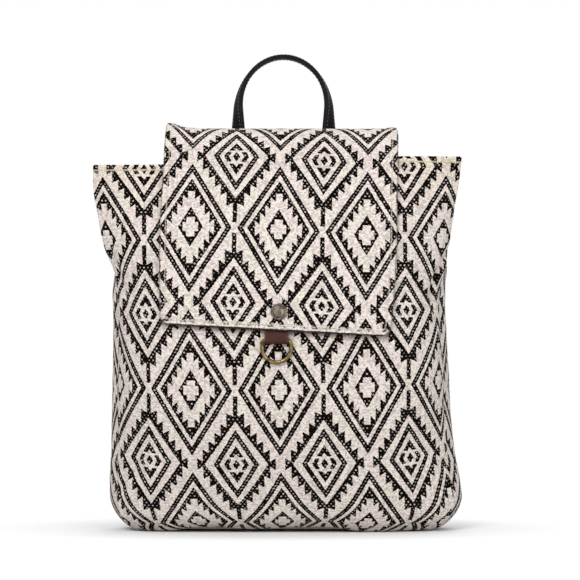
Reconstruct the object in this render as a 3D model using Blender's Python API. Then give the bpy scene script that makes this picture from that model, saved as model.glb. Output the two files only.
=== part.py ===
"""A small flap backpack in printed canvas: front, back, gussets and base sewn into a soft box with a lining,
a flap that arches over its mouth and closes on a snap, a leather pull tab with a D-ring, a leather haul
handle, and two adjustable shoulder straps on the back. The bag stands on its base and its front faces -Y."""

import bmesh
import bpy
import numpy as np
from mathutils import Vector

# Cloth, in metres like every size here
CANVAS = 0.0013
LINING = 0.0006
SEAM_GAP = 0.0003
LINING_GAP = 0.0018

# The body of the bag
BAG_HALF = 0.1742
RIM_HEIGHT = 0.3493
RIM_DROP = 0.0040
RIM_DROP_RUN = 0.060
TURN_POWER = 3.5
CLOTH_STEPS = 60
CORNER_RUN = 0.023
CORNER_RISE = 0.030
BASE_RUN = 0.013
BASE_RISE = 0.017
HEM_DROP = 0.004

# How far each side seam stands from the middle, as a share of the rim's half width, by height
LEFT_SEAM = [
    (0.030, 0.866), (0.070, 0.864), (0.150, 0.867), (0.200, 0.865), (0.225, 0.870), (0.2475, 0.887),
    (0.256, 0.905), (0.264, 0.926), (0.284, 0.958), (0.305, 0.978), (0.320, 0.996), (RIM_HEIGHT, 1.0),
]
RIGHT_SEAM = [
    (0.030, 0.959), (0.060, 0.933), (0.110, 0.909), (0.150, 0.904), (0.190, 0.888), (0.215, 0.884),
    (0.232, 0.893), (0.247, 0.923), (0.262, 0.9335), (0.280, 0.947), (0.305, 0.966), (0.330, 0.990),
    (RIM_HEIGHT, 1.0),
]
# Where the middle of the front and of the back panel lies, by height
FRONT_FACE = [
    (0.0, -0.046), (0.050, -0.055), (0.120, -0.061), (0.200, -0.058), (0.280, -0.044), (RIM_HEIGHT, -0.0275),
]
BACK_FACE = [
    (0.0, 0.045), (0.050, 0.050), (0.120, 0.052), (0.200, 0.049), (0.280, 0.040), (RIM_HEIGHT, 0.0275),
]
# How much wider than its room each side of the front panel's cloth is, by height; the back keeps flatter
FRONT_SLACK = [
    (0.0, 0.0025), (0.030, 0.0060), (0.090, 0.0150), (0.150, 0.0208), (0.210, 0.0198), (0.270, 0.0085),
    (RIM_HEIGHT, 0.0016),
]
BACK_SLACK = 0.0030
# How far the gusset's middle folds in between the seams, by height; it bellies out below the folds
GUSSET_FOLD = [
    (0.0, -0.002), (0.030, -0.0080), (0.080, -0.0075), (0.150, -0.0062), (0.200, -0.0060), (0.235, -0.0040),
    (0.252, 0.0015), (0.270, 0.010), (0.295, 0.021), (RIM_HEIGHT, 0.031),
]
GUSSET_ROUNDNESS = 1.7

PANEL_COLUMNS = 18
BACK_COLUMNS = 12
GUSSET_COLUMNS = 8
CURVE_ROWS = 4
WALL_ROWS = 12

# The flap, from its seam on the back to its lower edge. Its side edges are given by the way down from its top
FLAP_SPRING = 0.340
FLAP_ARCH = 0.0412
FLAP_BACK = 0.0280
FLAP_TOP = FLAP_SPRING + FLAP_ARCH
FLAP_SEAM = FLAP_SPRING - FLAP_BACK
FLAP_ARCH_POWER = 2.6
FLAP_STAND = 0.0020
FLAP_SNAP_STAND = 0.0042
FLAP_CANVAS = 0.0011
FLAP_EDGE_HEIGHT = 0.1899
FLAP_EDGE_SLOPE = -0.0532
FLAP_CORNER = 0.0095
FLAP_LINING_TRIM = 0.0015
FLAP_LEFT = [
    (0.0, -0.1012), (0.006, -0.1034), (0.020, -0.1048), (0.0412, -0.1065), (0.075, -0.1085), (0.110, -0.1094),
    (0.150, -0.1093), (0.200, -0.1080),
]
FLAP_RIGHT = [
    (0.0, 0.1110), (0.013, 0.1132), (0.033, 0.1132), (0.060, 0.1122), (0.115, 0.1110), (0.160, 0.1080),
    (0.200, 0.1035),
]
# Its stiff upper corners stand a little higher than its middle
FLAP_LEFT_CORNER_RISE = 0.0052
FLAP_RIGHT_CORNER_RISE = 0.0010
FLAP_CORNER_RISE_RUN = 0.030
FLAP_COLUMNS = 12
FLAP_BACK_ROWS = 2
FLAP_ARCH_ROWS = 10
FLAP_FRONT_ROWS = 7

# The pull tab under the flap's edge, the D-ring below it and the snap above it
LAYER_GAP = 0.0004
TAB_X = -0.0005
TAB_WIDTH = 0.0224
TAB_LEATHER = 0.0013
TAB_RISE = 0.0092
TAB_HEM = FLAP_EDGE_HEIGHT + FLAP_EDGE_SLOPE * TAB_X + LAYER_GAP
RING_WIRE = 0.0032
RING_HALF = 0.0135
RING_STRAIGHT = 0.0068
RING_FALL = 0.0098
RING_HEIGHT = TAB_HEM - RING_FALL
RING_PLAY = 0.0004
SNAP_X = 0.0017
SNAP_RADIUS = 0.0070
SNAP_HALF = 0.0015
SNAP_ROOM = 0.0008
SNAP_HEIGHT = TAB_HEM + TAB_RISE + SNAP_RADIUS + SNAP_ROOM
CAP_RADIUS = 0.0075
CAP_DOME = 0.0026

# The leather yoke on the back, over the feet of the handle and the heads of the straps
YOKE_HALF = 0.0640
YOKE_HEIGHT = 0.0360
YOKE_DROP = 0.0130
YOKE_MIDDLE = FLAP_SPRING - YOKE_DROP
YOKE_LEATHER = 0.0016

# The haul handle
HANDLE_CENTRE = 0.0058
HANDLE_SPREAD = 0.0437
HANDLE_WIDTH = 0.0150
HANDLE_LEATHER = 0.0045
HANDLE_SEWN = 0.0220
HANDLE_RISE = 0.0615
HANDLE_LOOP = 0.0530
HANDLE_FOOT = FLAP_SPRING - HANDLE_SEWN
HANDLE_SHOULDER = FLAP_SPRING + HANDLE_RISE
HANDLE_TOP = HANDLE_SHOULDER + HANDLE_LOOP
HANDLE_FLAT = FLAP_SPRING + 0.0050
HANDLE_TWIST_POWER = 1.5
HANDLE_LEG_STEPS = 8
HANDLE_BOW_STEPS = 10

# The shoulder straps and what holds them
STRAP_TOP_X = 0.0175
STRAP_WIDTH = 0.0280
STRAP_LEATHER = 0.0020
STRAP_HEAD = 0.0120
STRAP_BOW = 0.0300
STRAP_HELD = 0.10
STRAP_STATIONS = 28
STRAP_SPLIT = 17
STRAP_RETURN = 0.0140
WEB_WIDTH = 0.0240
WEB_THICK = 0.0013
WEB_STAND = 0.0060
WEB_TAIL = 0.0450
WEB_RETURN = 0.0120
SLIDER_BAR = 0.0030
SLIDER_SLOT = 0.0085
SLIDER_PLATE = 0.0024
SLIDER_REACH = 0.0020
LUG_X = 0.1120
LUG_HEIGHT = 0.0400
LUG_LENGTH = 0.0170
LUG_WIDTH = 0.0230
LUG_LEATHER = 0.0014
LUG_SEAT = 0.0007
RING_X = 0.1020
LUG_RING_HEIGHT = 0.0700
LOWER_WIRE = 0.0028
LOWER_RING_HALF = 0.0162
LOWER_RING_TALL = 0.0120

CREAM = (0.78, 0.70, 0.62)
TWILL = (0.42, 0.36, 0.30)
BLACK_LEATHER = (0.030, 0.022, 0.022)
BROWN_LEATHER = (0.085, 0.035, 0.030)
BRASS = (0.34, 0.25, 0.11)
BRONZE = (0.22, 0.18, 0.14)
STEEL = (0.55, 0.54, 0.52)
WEBBING = (0.045, 0.038, 0.036)


def clear_scene():
    for thing in list(bpy.data.objects):
        bpy.data.objects.remove(thing, do_unlink=True)


def surface(name, colour, roughness, metallic=0.0):
    """A material of the piece's own."""
    made = bpy.data.materials.new(name)
    made.use_nodes = True
    shader = made.node_tree.nodes["Principled BSDF"]
    shader.inputs["Base Color"].default_value = (*colour, 1.0)
    shader.inputs["Roughness"].default_value = roughness
    shader.inputs["Metallic"].default_value = metallic
    return made


def smooth_through(knots):
    """A function that runs smoothly through (place, value) knots and stays level past both ends."""
    places = np.array([k[0] for k in knots])
    values = np.array([k[1] for k in knots])
    slopes = np.gradient(values, places)

    def at(place):
        place = float(np.clip(place, places[0], places[-1]))
        k = int(np.clip(np.searchsorted(places, place) - 1, 0, len(places) - 2))
        step = places[k + 1] - places[k]
        t = (place - places[k]) / step
        return (
            values[k] * (1 + 2 * t) * (1 - t) ** 2
            + slopes[k] * step * t * (1 - t) ** 2
            + values[k + 1] * t * t * (3 - 2 * t)
            + slopes[k + 1] * step * t * t * (t - 1)
        )

    return at


left_seam = smooth_through([(height, share * BAG_HALF) for height, share in LEFT_SEAM])
right_seam = smooth_through([(height, share * BAG_HALF) for height, share in RIGHT_SEAM])
front_slack = smooth_through(FRONT_SLACK)
front_face = smooth_through(FRONT_FACE)
back_face = smooth_through(BACK_FACE)
gusset_fold = smooth_through(GUSSET_FOLD)
flap_left = smooth_through(FLAP_LEFT)
flap_right = smooth_through(FLAP_RIGHT)


def turned_cloth(half_cloth, half_width):
    """A panel whose cloth is wider than the room it has turns back toward its edges. Returns, for even steps
    of cloth from the middle to the edge, how far across and how far back it lies."""
    share = np.linspace(0, 1, CLOTH_STEPS + 1)
    step = half_cloth / CLOTH_STEPS
    low, high = 0.0, 2.4
    for _ in range(40):
        turn = (low + high) / 2
        angle = turn * share**TURN_POWER
        run = np.concatenate([[0], np.cumsum(np.cos((angle[1:] + angle[:-1]) / 2)) * step])
        if run[-1] > half_width:
            low = turn
        else:
            high = turn
    back = np.concatenate([[0], np.cumsum(np.sin((angle[1:] + angle[:-1]) / 2)) * step])
    return run * half_width / run[-1], back


def curve_in(height, run, rise):
    """How far the wall has curved in at this height, near the base."""
    if height >= rise:
        return 0.0
    return run * (1 - (1 - (1 - height / rise) ** 2) ** 0.5)


def rim_factor(x):
    """The left half of the rim stands a little lower than the right."""
    return 1 + RIM_DROP / RIM_HEIGHT * np.tanh(x / RIM_DROP_RUN)


def wall_heights():
    curve = BASE_RISE * (1 - np.cos(np.linspace(0, np.pi / 2, CURVE_ROWS + 1)))
    wall = np.linspace(BASE_RISE, RIM_HEIGHT, WALL_ROWS + 1)[1:]
    return np.concatenate([curve, wall])


def wall_point(share, height, front):
    """The outer face of the front or back panel, share -1 at its left seam and 1 at its right seam."""
    seam = left_seam(height) if share < 0 else right_seam(height)
    cloth = seam + (front_slack(height) if front else BACK_SLACK)
    run, back = turned_cloth(cloth, seam)
    x = np.interp(abs(share), np.linspace(0, 1, CLOTH_STEPS + 1), run)
    depth = np.interp(abs(share), np.linspace(0, 1, CLOTH_STEPS + 1), back)
    x *= (seam - curve_in(height, CORNER_RUN, CORNER_RISE)) / seam * np.sign(share)
    inward = depth + curve_in(height, BASE_RUN, BASE_RISE)
    y = front_face(height) + inward if front else back_face(height) - inward
    return np.array([x, y, height * (rim_factor(x) if height > BASE_RISE else 1)])


def wall_grid(columns, front):
    """Points of a panel's outer face, by column from left to right and by row from base to rim."""
    shares = np.sin(np.linspace(-1, 1, columns + 1) * np.pi / 2 * 0.8) / np.sin(np.pi / 2 * 0.8)
    return np.array([[wall_point(s, h, front) for h in wall_heights()] for s in shares])


def grid_normals(grid):
    """Unit normals of a grid of points, on the side of its column step crossed with its row step."""
    across = np.gradient(grid, axis=0)
    along = np.gradient(grid, axis=1)
    normal = np.cross(across, along)
    return normal / np.linalg.norm(normal, axis=2, keepdims=True)


def add_object(name, mesh, material):
    mesh.materials.append(material)
    made = bpy.data.objects.new(name, mesh)
    bpy.context.collection.objects.link(made)
    return made


def finish_mesh(name, bm, material, sharp=0.9):
    bmesh.ops.recalc_face_normals(bm, faces=bm.faces)
    mesh = bpy.data.meshes.new(name)
    bm.to_mesh(mesh)
    bm.free()
    mesh.shade_smooth()
    mesh.set_sharp_from_angle(angle=sharp)
    return add_object(name, mesh, material)


def sheet_solid(name, face, back, material):
    """A closed sheet between two grids of the same size."""
    bm = bmesh.new()
    columns, rows = face.shape[:2]
    top = [[bm.verts.new(face[i, j]) for j in range(rows)] for i in range(columns)]
    under = [[bm.verts.new(back[i, j]) for j in range(rows)] for i in range(columns)]
    for i in range(columns - 1):
        for j in range(rows - 1):
            bm.faces.new((top[i][j], top[i + 1][j], top[i + 1][j + 1], top[i][j + 1]))
            bm.faces.new((under[i][j], under[i][j + 1], under[i + 1][j + 1], under[i + 1][j]))
    for i in range(columns - 1):
        for j in (0, rows - 1):
            bm.faces.new((top[i][j], top[i + 1][j], under[i + 1][j], under[i][j]))
    for j in range(rows - 1):
        for i in (0, columns - 1):
            bm.faces.new((top[i][j], top[i][j + 1], under[i][j + 1], under[i][j]))
    return finish_mesh(name, bm, material)


def ribbon(name, path, across, width, thickness, material):
    """A flat strap with softened edges, swept along a path; across is the way its width runs at each point."""
    path = np.array(path, float)
    across = np.array(across, float)
    along = np.gradient(path, axis=0)
    along /= np.linalg.norm(along, axis=1, keepdims=True)
    across -= along * np.sum(along * across, axis=1, keepdims=True)
    across /= np.linalg.norm(across, axis=1, keepdims=True)
    normal = np.cross(along, across)
    bevel = thickness * 0.3
    section = [
        (width / 2, -thickness / 2 + bevel), (width / 2, thickness / 2 - bevel),
        (width / 2 - bevel, thickness / 2), (-width / 2 + bevel, thickness / 2),
        (-width / 2, thickness / 2 - bevel), (-width / 2, -thickness / 2 + bevel),
        (-width / 2 + bevel, -thickness / 2), (width / 2 - bevel, -thickness / 2),
    ]
    bm = bmesh.new()
    rings = [
        [bm.verts.new(p + a * u + n * v) for u, v in section] for p, a, n in zip(path, across, normal)
    ]
    bridge_rings(bm, rings)
    return finish_mesh(name, bm, material)


def bridge_rings(bm, rings):
    """Joins rings of points into a tube and closes both ends."""
    sides = len(rings[0])
    for one, two in zip(rings, rings[1:]):
        for k in range(sides):
            bm.faces.new((one[k], one[(k + 1) % sides], two[(k + 1) % sides], two[k]))
    bm.faces.new(rings[0])
    bm.faces.new(rings[-1][::-1])


def turned(name, profile, centre, slope, material, sides=24):
    """A round piece from (radius, forward) points, facing forward and up by the slope of what it sits on."""
    bm = bmesh.new()
    angles = np.linspace(0, 2 * np.pi, sides, endpoint=False)
    lean = np.arctan(slope)
    forward = np.array([0, -np.cos(lean), np.sin(lean)])
    upward = np.array([0, np.sin(lean), np.cos(lean)])
    sideways = np.array([1, 0, 0])
    spokes = [np.cos(a) * sideways + np.sin(a) * upward for a in angles]
    rings = [[bm.verts.new(centre + r * spoke + out * forward) for spoke in spokes] for r, out in profile]
    bridge_rings(bm, rings)
    return finish_mesh(name, bm, material, sharp=0.6)


def wire_loop(name, points, wire, origin, material):
    """A closed loop of round wire, with its object's origin at the given place."""
    curve = bpy.data.curves.new(name, "CURVE")
    curve.dimensions = "3D"
    curve.bevel_depth = wire / 2
    curve.bevel_resolution = 2
    spline = curve.splines.new("POLY")
    spline.points.add(len(points) - 1)
    for target, point in zip(spline.points, points):
        target.co = (*point, 1.0)
    spline.use_cyclic_u = True
    spline.use_smooth = True
    curve.materials.append(material)
    made = bpy.data.objects.new(name, curve)
    made.location = origin
    bpy.context.collection.objects.link(made)
    return made


def build_walls():
    """The front and back panels and the two gussets between them. Returns what the lining and base follow."""
    front = wall_grid(PANEL_COLUMNS, True)
    front_in = front - grid_normals(front) * CANVAS
    front_in[:, 0] = front[:, 0] + (0, 0, CANVAS)
    back = wall_grid(BACK_COLUMNS, False)
    back_in = back + grid_normals(back) * CANVAS
    back_in[:, 0] = back[:, 0] + (0, 0, CANVAS)
    sheet_solid("front_panel", front, front_in, surface("front_canvas", CREAM, 0.9))
    sheet_solid("back_panel", back, back_in, surface("back_canvas", CREAM, 0.9))
    inner = {"front": front_in, "back": back_in}
    for side, column, name in ((-1, 0, "left_gusset"), (1, -1, "right_gusset")):
        grid = gusset_grid(front, front_in, back, back_in, side, column)
        normal = grid_normals(grid) * side
        outer = grid + normal * CANVAS
        outer[:, 0] = grid[:, 0] - (0, 0, CANVAS)
        sheet_solid(name, outer, grid, surface(name + "_canvas", CREAM, 0.9))
        inner[name] = grid
    return inner, front[:, 0], back[:, 0]


def gusset_grid(front, front_in, back, back_in, side, column):
    """The inner face of a gusset, from the front panel's seam to the back panel's."""
    step = 1 if column == 0 else -2
    heights = wall_heights()
    grid = []
    for share in np.linspace(0, 1, GUSSET_COLUMNS + 1):
        row = []
        for j, height in enumerate(heights):
            ends = []
            for outer, inner in ((front, front_in), (back, back_in)):
                edge = inner[column, j] - inner[step, j]
                inward = inner[column, j] - outer[column, j]
                edge = edge / np.linalg.norm(edge) * SEAM_GAP
                ends.append(inner[column, j] + edge + inward / np.linalg.norm(inward) * SEAM_GAP * (j > 0))
            fold = gusset_fold(height) * (1 - abs(2 * share - 1) ** GUSSET_ROUNDNESS)
            row.append(ends[0] * (1 - share) + ends[1] * share - np.array([fold * side, 0, 0]))
        grid.append(row)
    return np.array(grid)


def flat_plate(name, outline, low, high, material):
    """A flat plate with the given outline."""
    bm = bmesh.new()
    lower = [bm.verts.new((p[0], p[1], low)) for p in outline]
    upper = [bm.verts.new((p[0], p[1], high)) for p in outline]
    bridge_rings(bm, [lower, upper])
    return finish_mesh(name, bm, material)


def build_base(inner, front_edge, back_edge):
    """The base panel fills the loop that the walls leave at the floor."""
    left = inner["left_gusset"][:, 0]
    right = inner["right_gusset"][:, 0]
    outline = [p + (0, SEAM_GAP, 0) for p in front_edge]
    outline += [p - (SEAM_GAP, 0, 0) for p in right[1:-1]]
    outline += [p - (0, SEAM_GAP, 0) for p in back_edge[::-1]]
    outline += [p + (SEAM_GAP, 0, 0) for p in left[1:-1][::-1]]
    outline[0] = outline[0] + (SEAM_GAP, 0, 0)
    flat_plate("base_panel", outline, 0.0, CANVAS, surface("base_canvas", CREAM, 0.9))


def build_lining(inner):
    """A loose inner bag of twill, open at the top, that follows the walls and skips the seams' corners."""
    picks = [k for k in range(PANEL_COLUMNS + 1) if k % 2 == 0][1:-1]
    back_picks = list(range(BACK_COLUMNS + 1))[2:-2][::-1]
    side_picks = list(range(1, GUSSET_COLUMNS))
    rows = list(range(1, CURVE_ROWS + WALL_ROWS + 1))
    loop = [inner["front"][k] for k in picks]
    loop += [inner["right_gusset"][k] for k in side_picks]
    loop += [inner["back"][k] for k in back_picks]
    loop += [inner["left_gusset"][k] for k in side_picks[::-1]]
    points = np.array(loop)[:, rows]
    points[:, -1, 2] -= HEM_DROP
    outer = inset_loop(points, LINING_GAP)
    body = inset_loop(points, LINING_GAP + LINING)
    floor = CANVAS + LINING_GAP
    outer[:, 0, 2] = floor
    body[:, 0, 2] = floor + LINING
    bm = bmesh.new()
    skins = [[[bm.verts.new(p) for p in ring] for ring in grid.transpose(1, 0, 2)] for grid in (outer, body)]
    for rings in skins:
        for one, two in zip(rings, rings[1:]):
            for k in range(len(one)):
                following = (k + 1) % len(one)
                bm.faces.new((one[k], one[following], two[following], two[k]))
        bm.faces.new(rings[0])
    one, two = skins[0][-1], skins[1][-1]
    for k in range(len(one)):
        bm.faces.new((one[k], one[(k + 1) % len(one)], two[(k + 1) % len(one)], two[k]))
    finish_mesh("lining", bm, surface("lining_twill", TWILL, 0.9))


def inset_loop(points, distance):
    """Moves each ring of points toward the inside of the bag, level by level."""
    ahead = np.roll(points, -1, axis=0) - points
    behind = points - np.roll(points, 1, axis=0)
    ahead[..., 2] = 0
    behind[..., 2] = 0
    along = ahead / np.linalg.norm(ahead, axis=2, keepdims=True)
    along += behind / np.linalg.norm(behind, axis=2, keepdims=True)
    along /= np.linalg.norm(along, axis=2, keepdims=True)
    inward = np.stack([-along[..., 1], along[..., 0], np.zeros(along.shape[:2])], axis=2)
    return points + inward * distance


def panel_depth(x, height, front):
    """The outer face of the front or back panel at this place."""
    seam = left_seam(height) if x < 0 else right_seam(height)
    cloth = seam + (front_slack(height) if front else BACK_SLACK)
    run, back = turned_cloth(cloth, seam)
    depth = np.interp(abs(x), run, back)
    return front_face(height) + depth if front else back_face(height) - depth


def flap_profile():
    """Steps along the flap from its seam on the back, over the top and down the front: each is a part of the
    way, with 0 to 1 up the back, 1 to 2 over the arch and 2 to 3 down the front."""
    back = np.linspace(0, 1, FLAP_BACK_ROWS + 1)[:-1]
    arch = 1 + np.linspace(0, 1, FLAP_ARCH_ROWS + 1)
    front = 2 + np.array([*np.linspace(0, 0.93, FLAP_FRONT_ROWS)[1:], 0.955, 0.98, 1.0])
    return [*back, *arch, *front]


def corner_rise(x):
    """How much higher than its middle the arched flap stands here, toward either side."""
    edge, rise = (-flap_left(0), FLAP_LEFT_CORNER_RISE) if x < 0 else (flap_right(0), FLAP_RIGHT_CORNER_RISE)
    share = float(np.clip((abs(x) - edge) / FLAP_CORNER_RISE_RUN + 1, 0, 1))
    return rise * share * share


def flap_point(x, way, lift):
    """A point of the flap, lift away from the panels and the arch's own inner line."""
    if way < 1:
        height = FLAP_SEAM + (FLAP_SPRING - FLAP_SEAM) * way
        return np.array([x, panel_depth(x, height, False) + FLAP_STAND + lift, height])
    if way <= 2:
        angle = np.pi * (way - 1)
        rear = panel_depth(x, FLAP_SPRING, False) + FLAP_STAND + lift
        fore = panel_depth(x, FLAP_SPRING, True) - FLAP_STAND - lift
        spread = np.sign(np.cos(angle)) * abs(np.cos(angle)) ** (2 / FLAP_ARCH_POWER)
        rise = abs(np.sin(angle)) ** (2 / FLAP_ARCH_POWER)
        top = FLAP_ARCH - FLAP_CANVAS - LINING - SEAM_GAP + lift + corner_rise(x)
        y = (rear + fore) / 2 + (rear - fore) / 2 * spread
        return np.array([x, y, FLAP_SPRING + top * rise])
    edge = FLAP_EDGE_HEIGHT + FLAP_EDGE_SLOPE * x
    height = FLAP_SPRING + (edge - FLAP_SPRING) * (way - 2)
    stand = FLAP_STAND + (FLAP_SNAP_STAND - FLAP_STAND) * (way - 2)
    return np.array([x, panel_depth(x, height, True) - stand - lift, height])


def flap_width(way):
    """The flap's left and right edges at this part of its way, with its lower corners rounded."""
    fall = 0.0 if way <= 1.5 else (way - 1.5) * 2 * (FLAP_TOP - FLAP_SPRING)
    if way > 2:
        fall = FLAP_TOP - FLAP_SPRING + (way - 2) * (FLAP_SPRING - FLAP_EDGE_HEIGHT)
    length = (3 - way) * (FLAP_SPRING - FLAP_EDGE_HEIGHT) if way > 2 else FLAP_CORNER
    inset = curve_in(length, FLAP_CORNER, FLAP_CORNER)
    return flap_left(fall) + inset, flap_right(fall) - inset


def flap_grid(lift, trim):
    grid = []
    for share in np.linspace(0, 1, FLAP_COLUMNS + 1):
        column = []
        for way in flap_profile():
            left, right = flap_width(way)
            x = left + trim + (right - left - 2 * trim) * share
            column.append(flap_point(x, way, lift))
        grid.append(column)
    return np.array(grid)


def build_flap():
    """The flap's printed outer cloth and its lining, which stops just short of the outer edge."""
    over, under = flap_grid(LINING, FLAP_LINING_TRIM), flap_grid(0.0, FLAP_LINING_TRIM)
    sheet_solid("flap_lining", over, under, surface("flap_twill", TWILL, 0.9))
    low = LINING + SEAM_GAP
    outer, inner = flap_grid(low + FLAP_CANVAS, 0.0), flap_grid(low, 0.0)
    sheet_solid("flap", outer, inner, surface("flap_canvas", CREAM, 0.9))


def flap_at(x, height, lift):
    """How far forward the hanging flap lies at this place."""
    edge = FLAP_EDGE_HEIGHT + FLAP_EDGE_SLOPE * x
    return flap_point(x, 2 + (FLAP_SPRING - height) / (FLAP_SPRING - edge), lift)[1]


def slope_of(depth_at):
    """How much a face leans back for each step up, across the snap."""
    step = SNAP_RADIUS
    return (depth_at(SNAP_HEIGHT + step) - depth_at(SNAP_HEIGHT - step)) / (2 * step)


def build_snap():
    """Both halves of the snap, one on the front panel and one under the flap, and the cap on the flap."""
    panel = slope_of(lambda z: panel_depth(SNAP_X, z, True))
    flap = slope_of(lambda z: flap_at(SNAP_X, z, 0.0))
    seat = np.array([SNAP_X, panel_depth(SNAP_X, SNAP_HEIGHT, True) - SEAM_GAP, SNAP_HEIGHT])
    stud = [(SNAP_RADIUS, 0), (SNAP_RADIUS, SNAP_HALF * 0.7), (SNAP_RADIUS * 0.85, SNAP_HALF)]
    turned("snap_stud", stud, seat, panel, surface("snap_stud_steel", STEEL, 0.35, 1.0), 20)
    below = np.array([SNAP_X, flap_at(SNAP_X, SNAP_HEIGHT, 0.0) + SEAM_GAP, SNAP_HEIGHT])
    socket = [(SNAP_RADIUS * 0.9, -SNAP_HALF), (SNAP_RADIUS, -SNAP_HALF * 0.6), (SNAP_RADIUS, 0)]
    turned("snap_socket", socket, below, flap, surface("snap_socket_steel", STEEL, 0.35, 1.0), 20)
    over = flap_at(SNAP_X, SNAP_HEIGHT, LINING + SEAM_GAP + FLAP_CANVAS)
    front = np.array([SNAP_X, over - SEAM_GAP, SNAP_HEIGHT])
    dome = [
        (CAP_RADIUS * 0.96, 0.0), (CAP_RADIUS, CAP_DOME * 0.25), (CAP_RADIUS * 0.95, CAP_DOME * 0.62),
        (CAP_RADIUS * 0.82, CAP_DOME * 0.84), (CAP_RADIUS * 0.72, CAP_DOME * 0.74),
        (CAP_RADIUS * 0.64, CAP_DOME * 0.84), (CAP_RADIUS * 0.3, CAP_DOME), (CAP_RADIUS * 0.05, CAP_DOME),
    ]
    turned("snap_cap", dome, front, flap, surface("cap_bronze", BRONZE, 0.4, 1.0))


def d_outline():
    """The D-ring's centre line: a straight bar on top and a half round below it."""
    arc = np.linspace(0, -np.pi, 15)
    points = [(RING_HALF * np.cos(a), 0.0, -RING_STRAIGHT + RING_HALF * np.sin(a)) for a in arc]
    corner = RING_WIRE * 0.9
    for side in (-1, 1):
        sweep = np.linspace(0, np.pi / 2, 4) if side < 0 else np.linspace(np.pi / 2, 0, 4)
        for a in sweep:
            out = RING_HALF - corner + corner * np.cos(a)
            points.append((side * out, 0.0, -corner + corner * np.sin(a)))
    return points


def build_tab_and_ring():
    """A leather strip sewn under the flap's edge, folded round the D-ring's bar."""
    panel = panel_depth(TAB_X, RING_HEIGHT, True)
    loop = RING_WIRE / 2 + RING_PLAY + TAB_LEATHER / 2
    pivot = np.array([TAB_X, panel - LAYER_GAP - loop - TAB_LEATHER / 2, RING_HEIGHT])
    leg = (TAB_LEATHER + SEAM_GAP) / 2
    path = []
    for side in (1, -1):
        knots = []
        for z in (TAB_HEM + TAB_RISE, TAB_HEM + TAB_RISE / 2, TAB_HEM):
            middle = (panel_depth(TAB_X, z, True) + flap_at(TAB_X, z, 0.0)) / 2
            knots.append((z, middle + side * leg))
        knots.append(((TAB_HEM + RING_HEIGHT) / 2, pivot[1] + side * (leg + loop) / 2))
        knots.append((RING_HEIGHT, pivot[1] + side * loop))
        path.append([np.array([TAB_X, y, z]) for z, y in knots])
    under = [
        pivot + np.array([0, loop * np.cos(a), -loop * np.sin(a)]) for a in np.linspace(0, np.pi, 9)[1:-1]
    ]
    whole = path[0] + under + path[1][::-1]
    leather = surface("tab_leather", BROWN_LEATHER, 0.5)
    ribbon("pull_tab", whole, [(1, 0, 0)] * len(whole), TAB_WIDTH, TAB_LEATHER, leather)
    wire_loop("d_ring", d_outline(), RING_WIRE, pivot, surface("ring_brass", BRASS, 0.3, 1.0))


def rear_layer(x, height, depth):
    """A place behind the flap's cloth on the back, this many layers deep; it stays level above the spring."""
    under = panel_depth(x, min(height, FLAP_SPRING), False)
    return under + FLAP_STAND + LINING + 2 * SEAM_GAP + FLAP_CANVAS + depth


def build_handle():
    """A leather strip whose feet are sewn flat to the back and whose top stands on edge."""
    layer = LAYER_GAP + HANDLE_LEATHER / 2
    rise = HANDLE_TOP - HANDLE_LEATHER / 2 - HANDLE_SHOULDER
    legs = [(HANDLE_SPREAD, z) for z in np.linspace(HANDLE_FOOT, HANDLE_SHOULDER, HANDLE_LEG_STEPS)[:-1]]
    angles = np.linspace(0, np.pi / 2, HANDLE_BOW_STEPS)
    out = HANDLE_SPREAD * np.cos(angles)
    up = HANDLE_SHOULDER + rise * np.sin(angles)
    bow = list(zip(out, up))
    half = legs + bow
    whole = [(-x, z) for x, z in half] + [(x, z) for x, z in half[-2::-1]]
    path, across = [], []
    for x, z in whole:
        share = float(np.clip((HANDLE_TOP - z) / (HANDLE_TOP - HANDLE_FLAT), 0, 1))
        facing = share**HANDLE_TWIST_POWER
        path.append((HANDLE_CENTRE + x, rear_layer(HANDLE_CENTRE + x, z, layer), z))
        across.append((facing * (-1 if x < 0 else 1), 1 - facing, 0.0))
    leather = surface("handle_leather", BLACK_LEATHER, 0.45)
    ribbon("handle", path, across, HANDLE_WIDTH, HANDLE_LEATHER, leather)


def build_yoke():
    """The leather patch that covers the feet of the handle and the heads of the straps."""
    depth = LAYER_GAP * 2 + max(HANDLE_LEATHER, STRAP_LEATHER) + YOKE_LEATHER / 2
    heights = np.linspace(YOKE_MIDDLE - YOKE_HEIGHT / 2, YOKE_MIDDLE + YOKE_HEIGHT / 2, 4)
    path = [(HANDLE_CENTRE, rear_layer(HANDLE_CENTRE, z, depth), z) for z in heights]
    leather = surface("yoke_leather", BLACK_LEATHER, 0.5)
    ribbon("strap_yoke", path, [(1, 0, 0)] * len(path), YOKE_HALF * 2, YOKE_LEATHER, leather)


def turn_round(centre, outward, onward, radius, count=7):
    """Points of a half turn round a bar, from its outward side past its onward side to its inward side."""
    angles = np.linspace(0, np.pi, count)
    return [centre + radius * (outward * np.cos(a) + onward * np.sin(a)) for a in angles]


def unit(vector):
    return vector / np.linalg.norm(vector)


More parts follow.
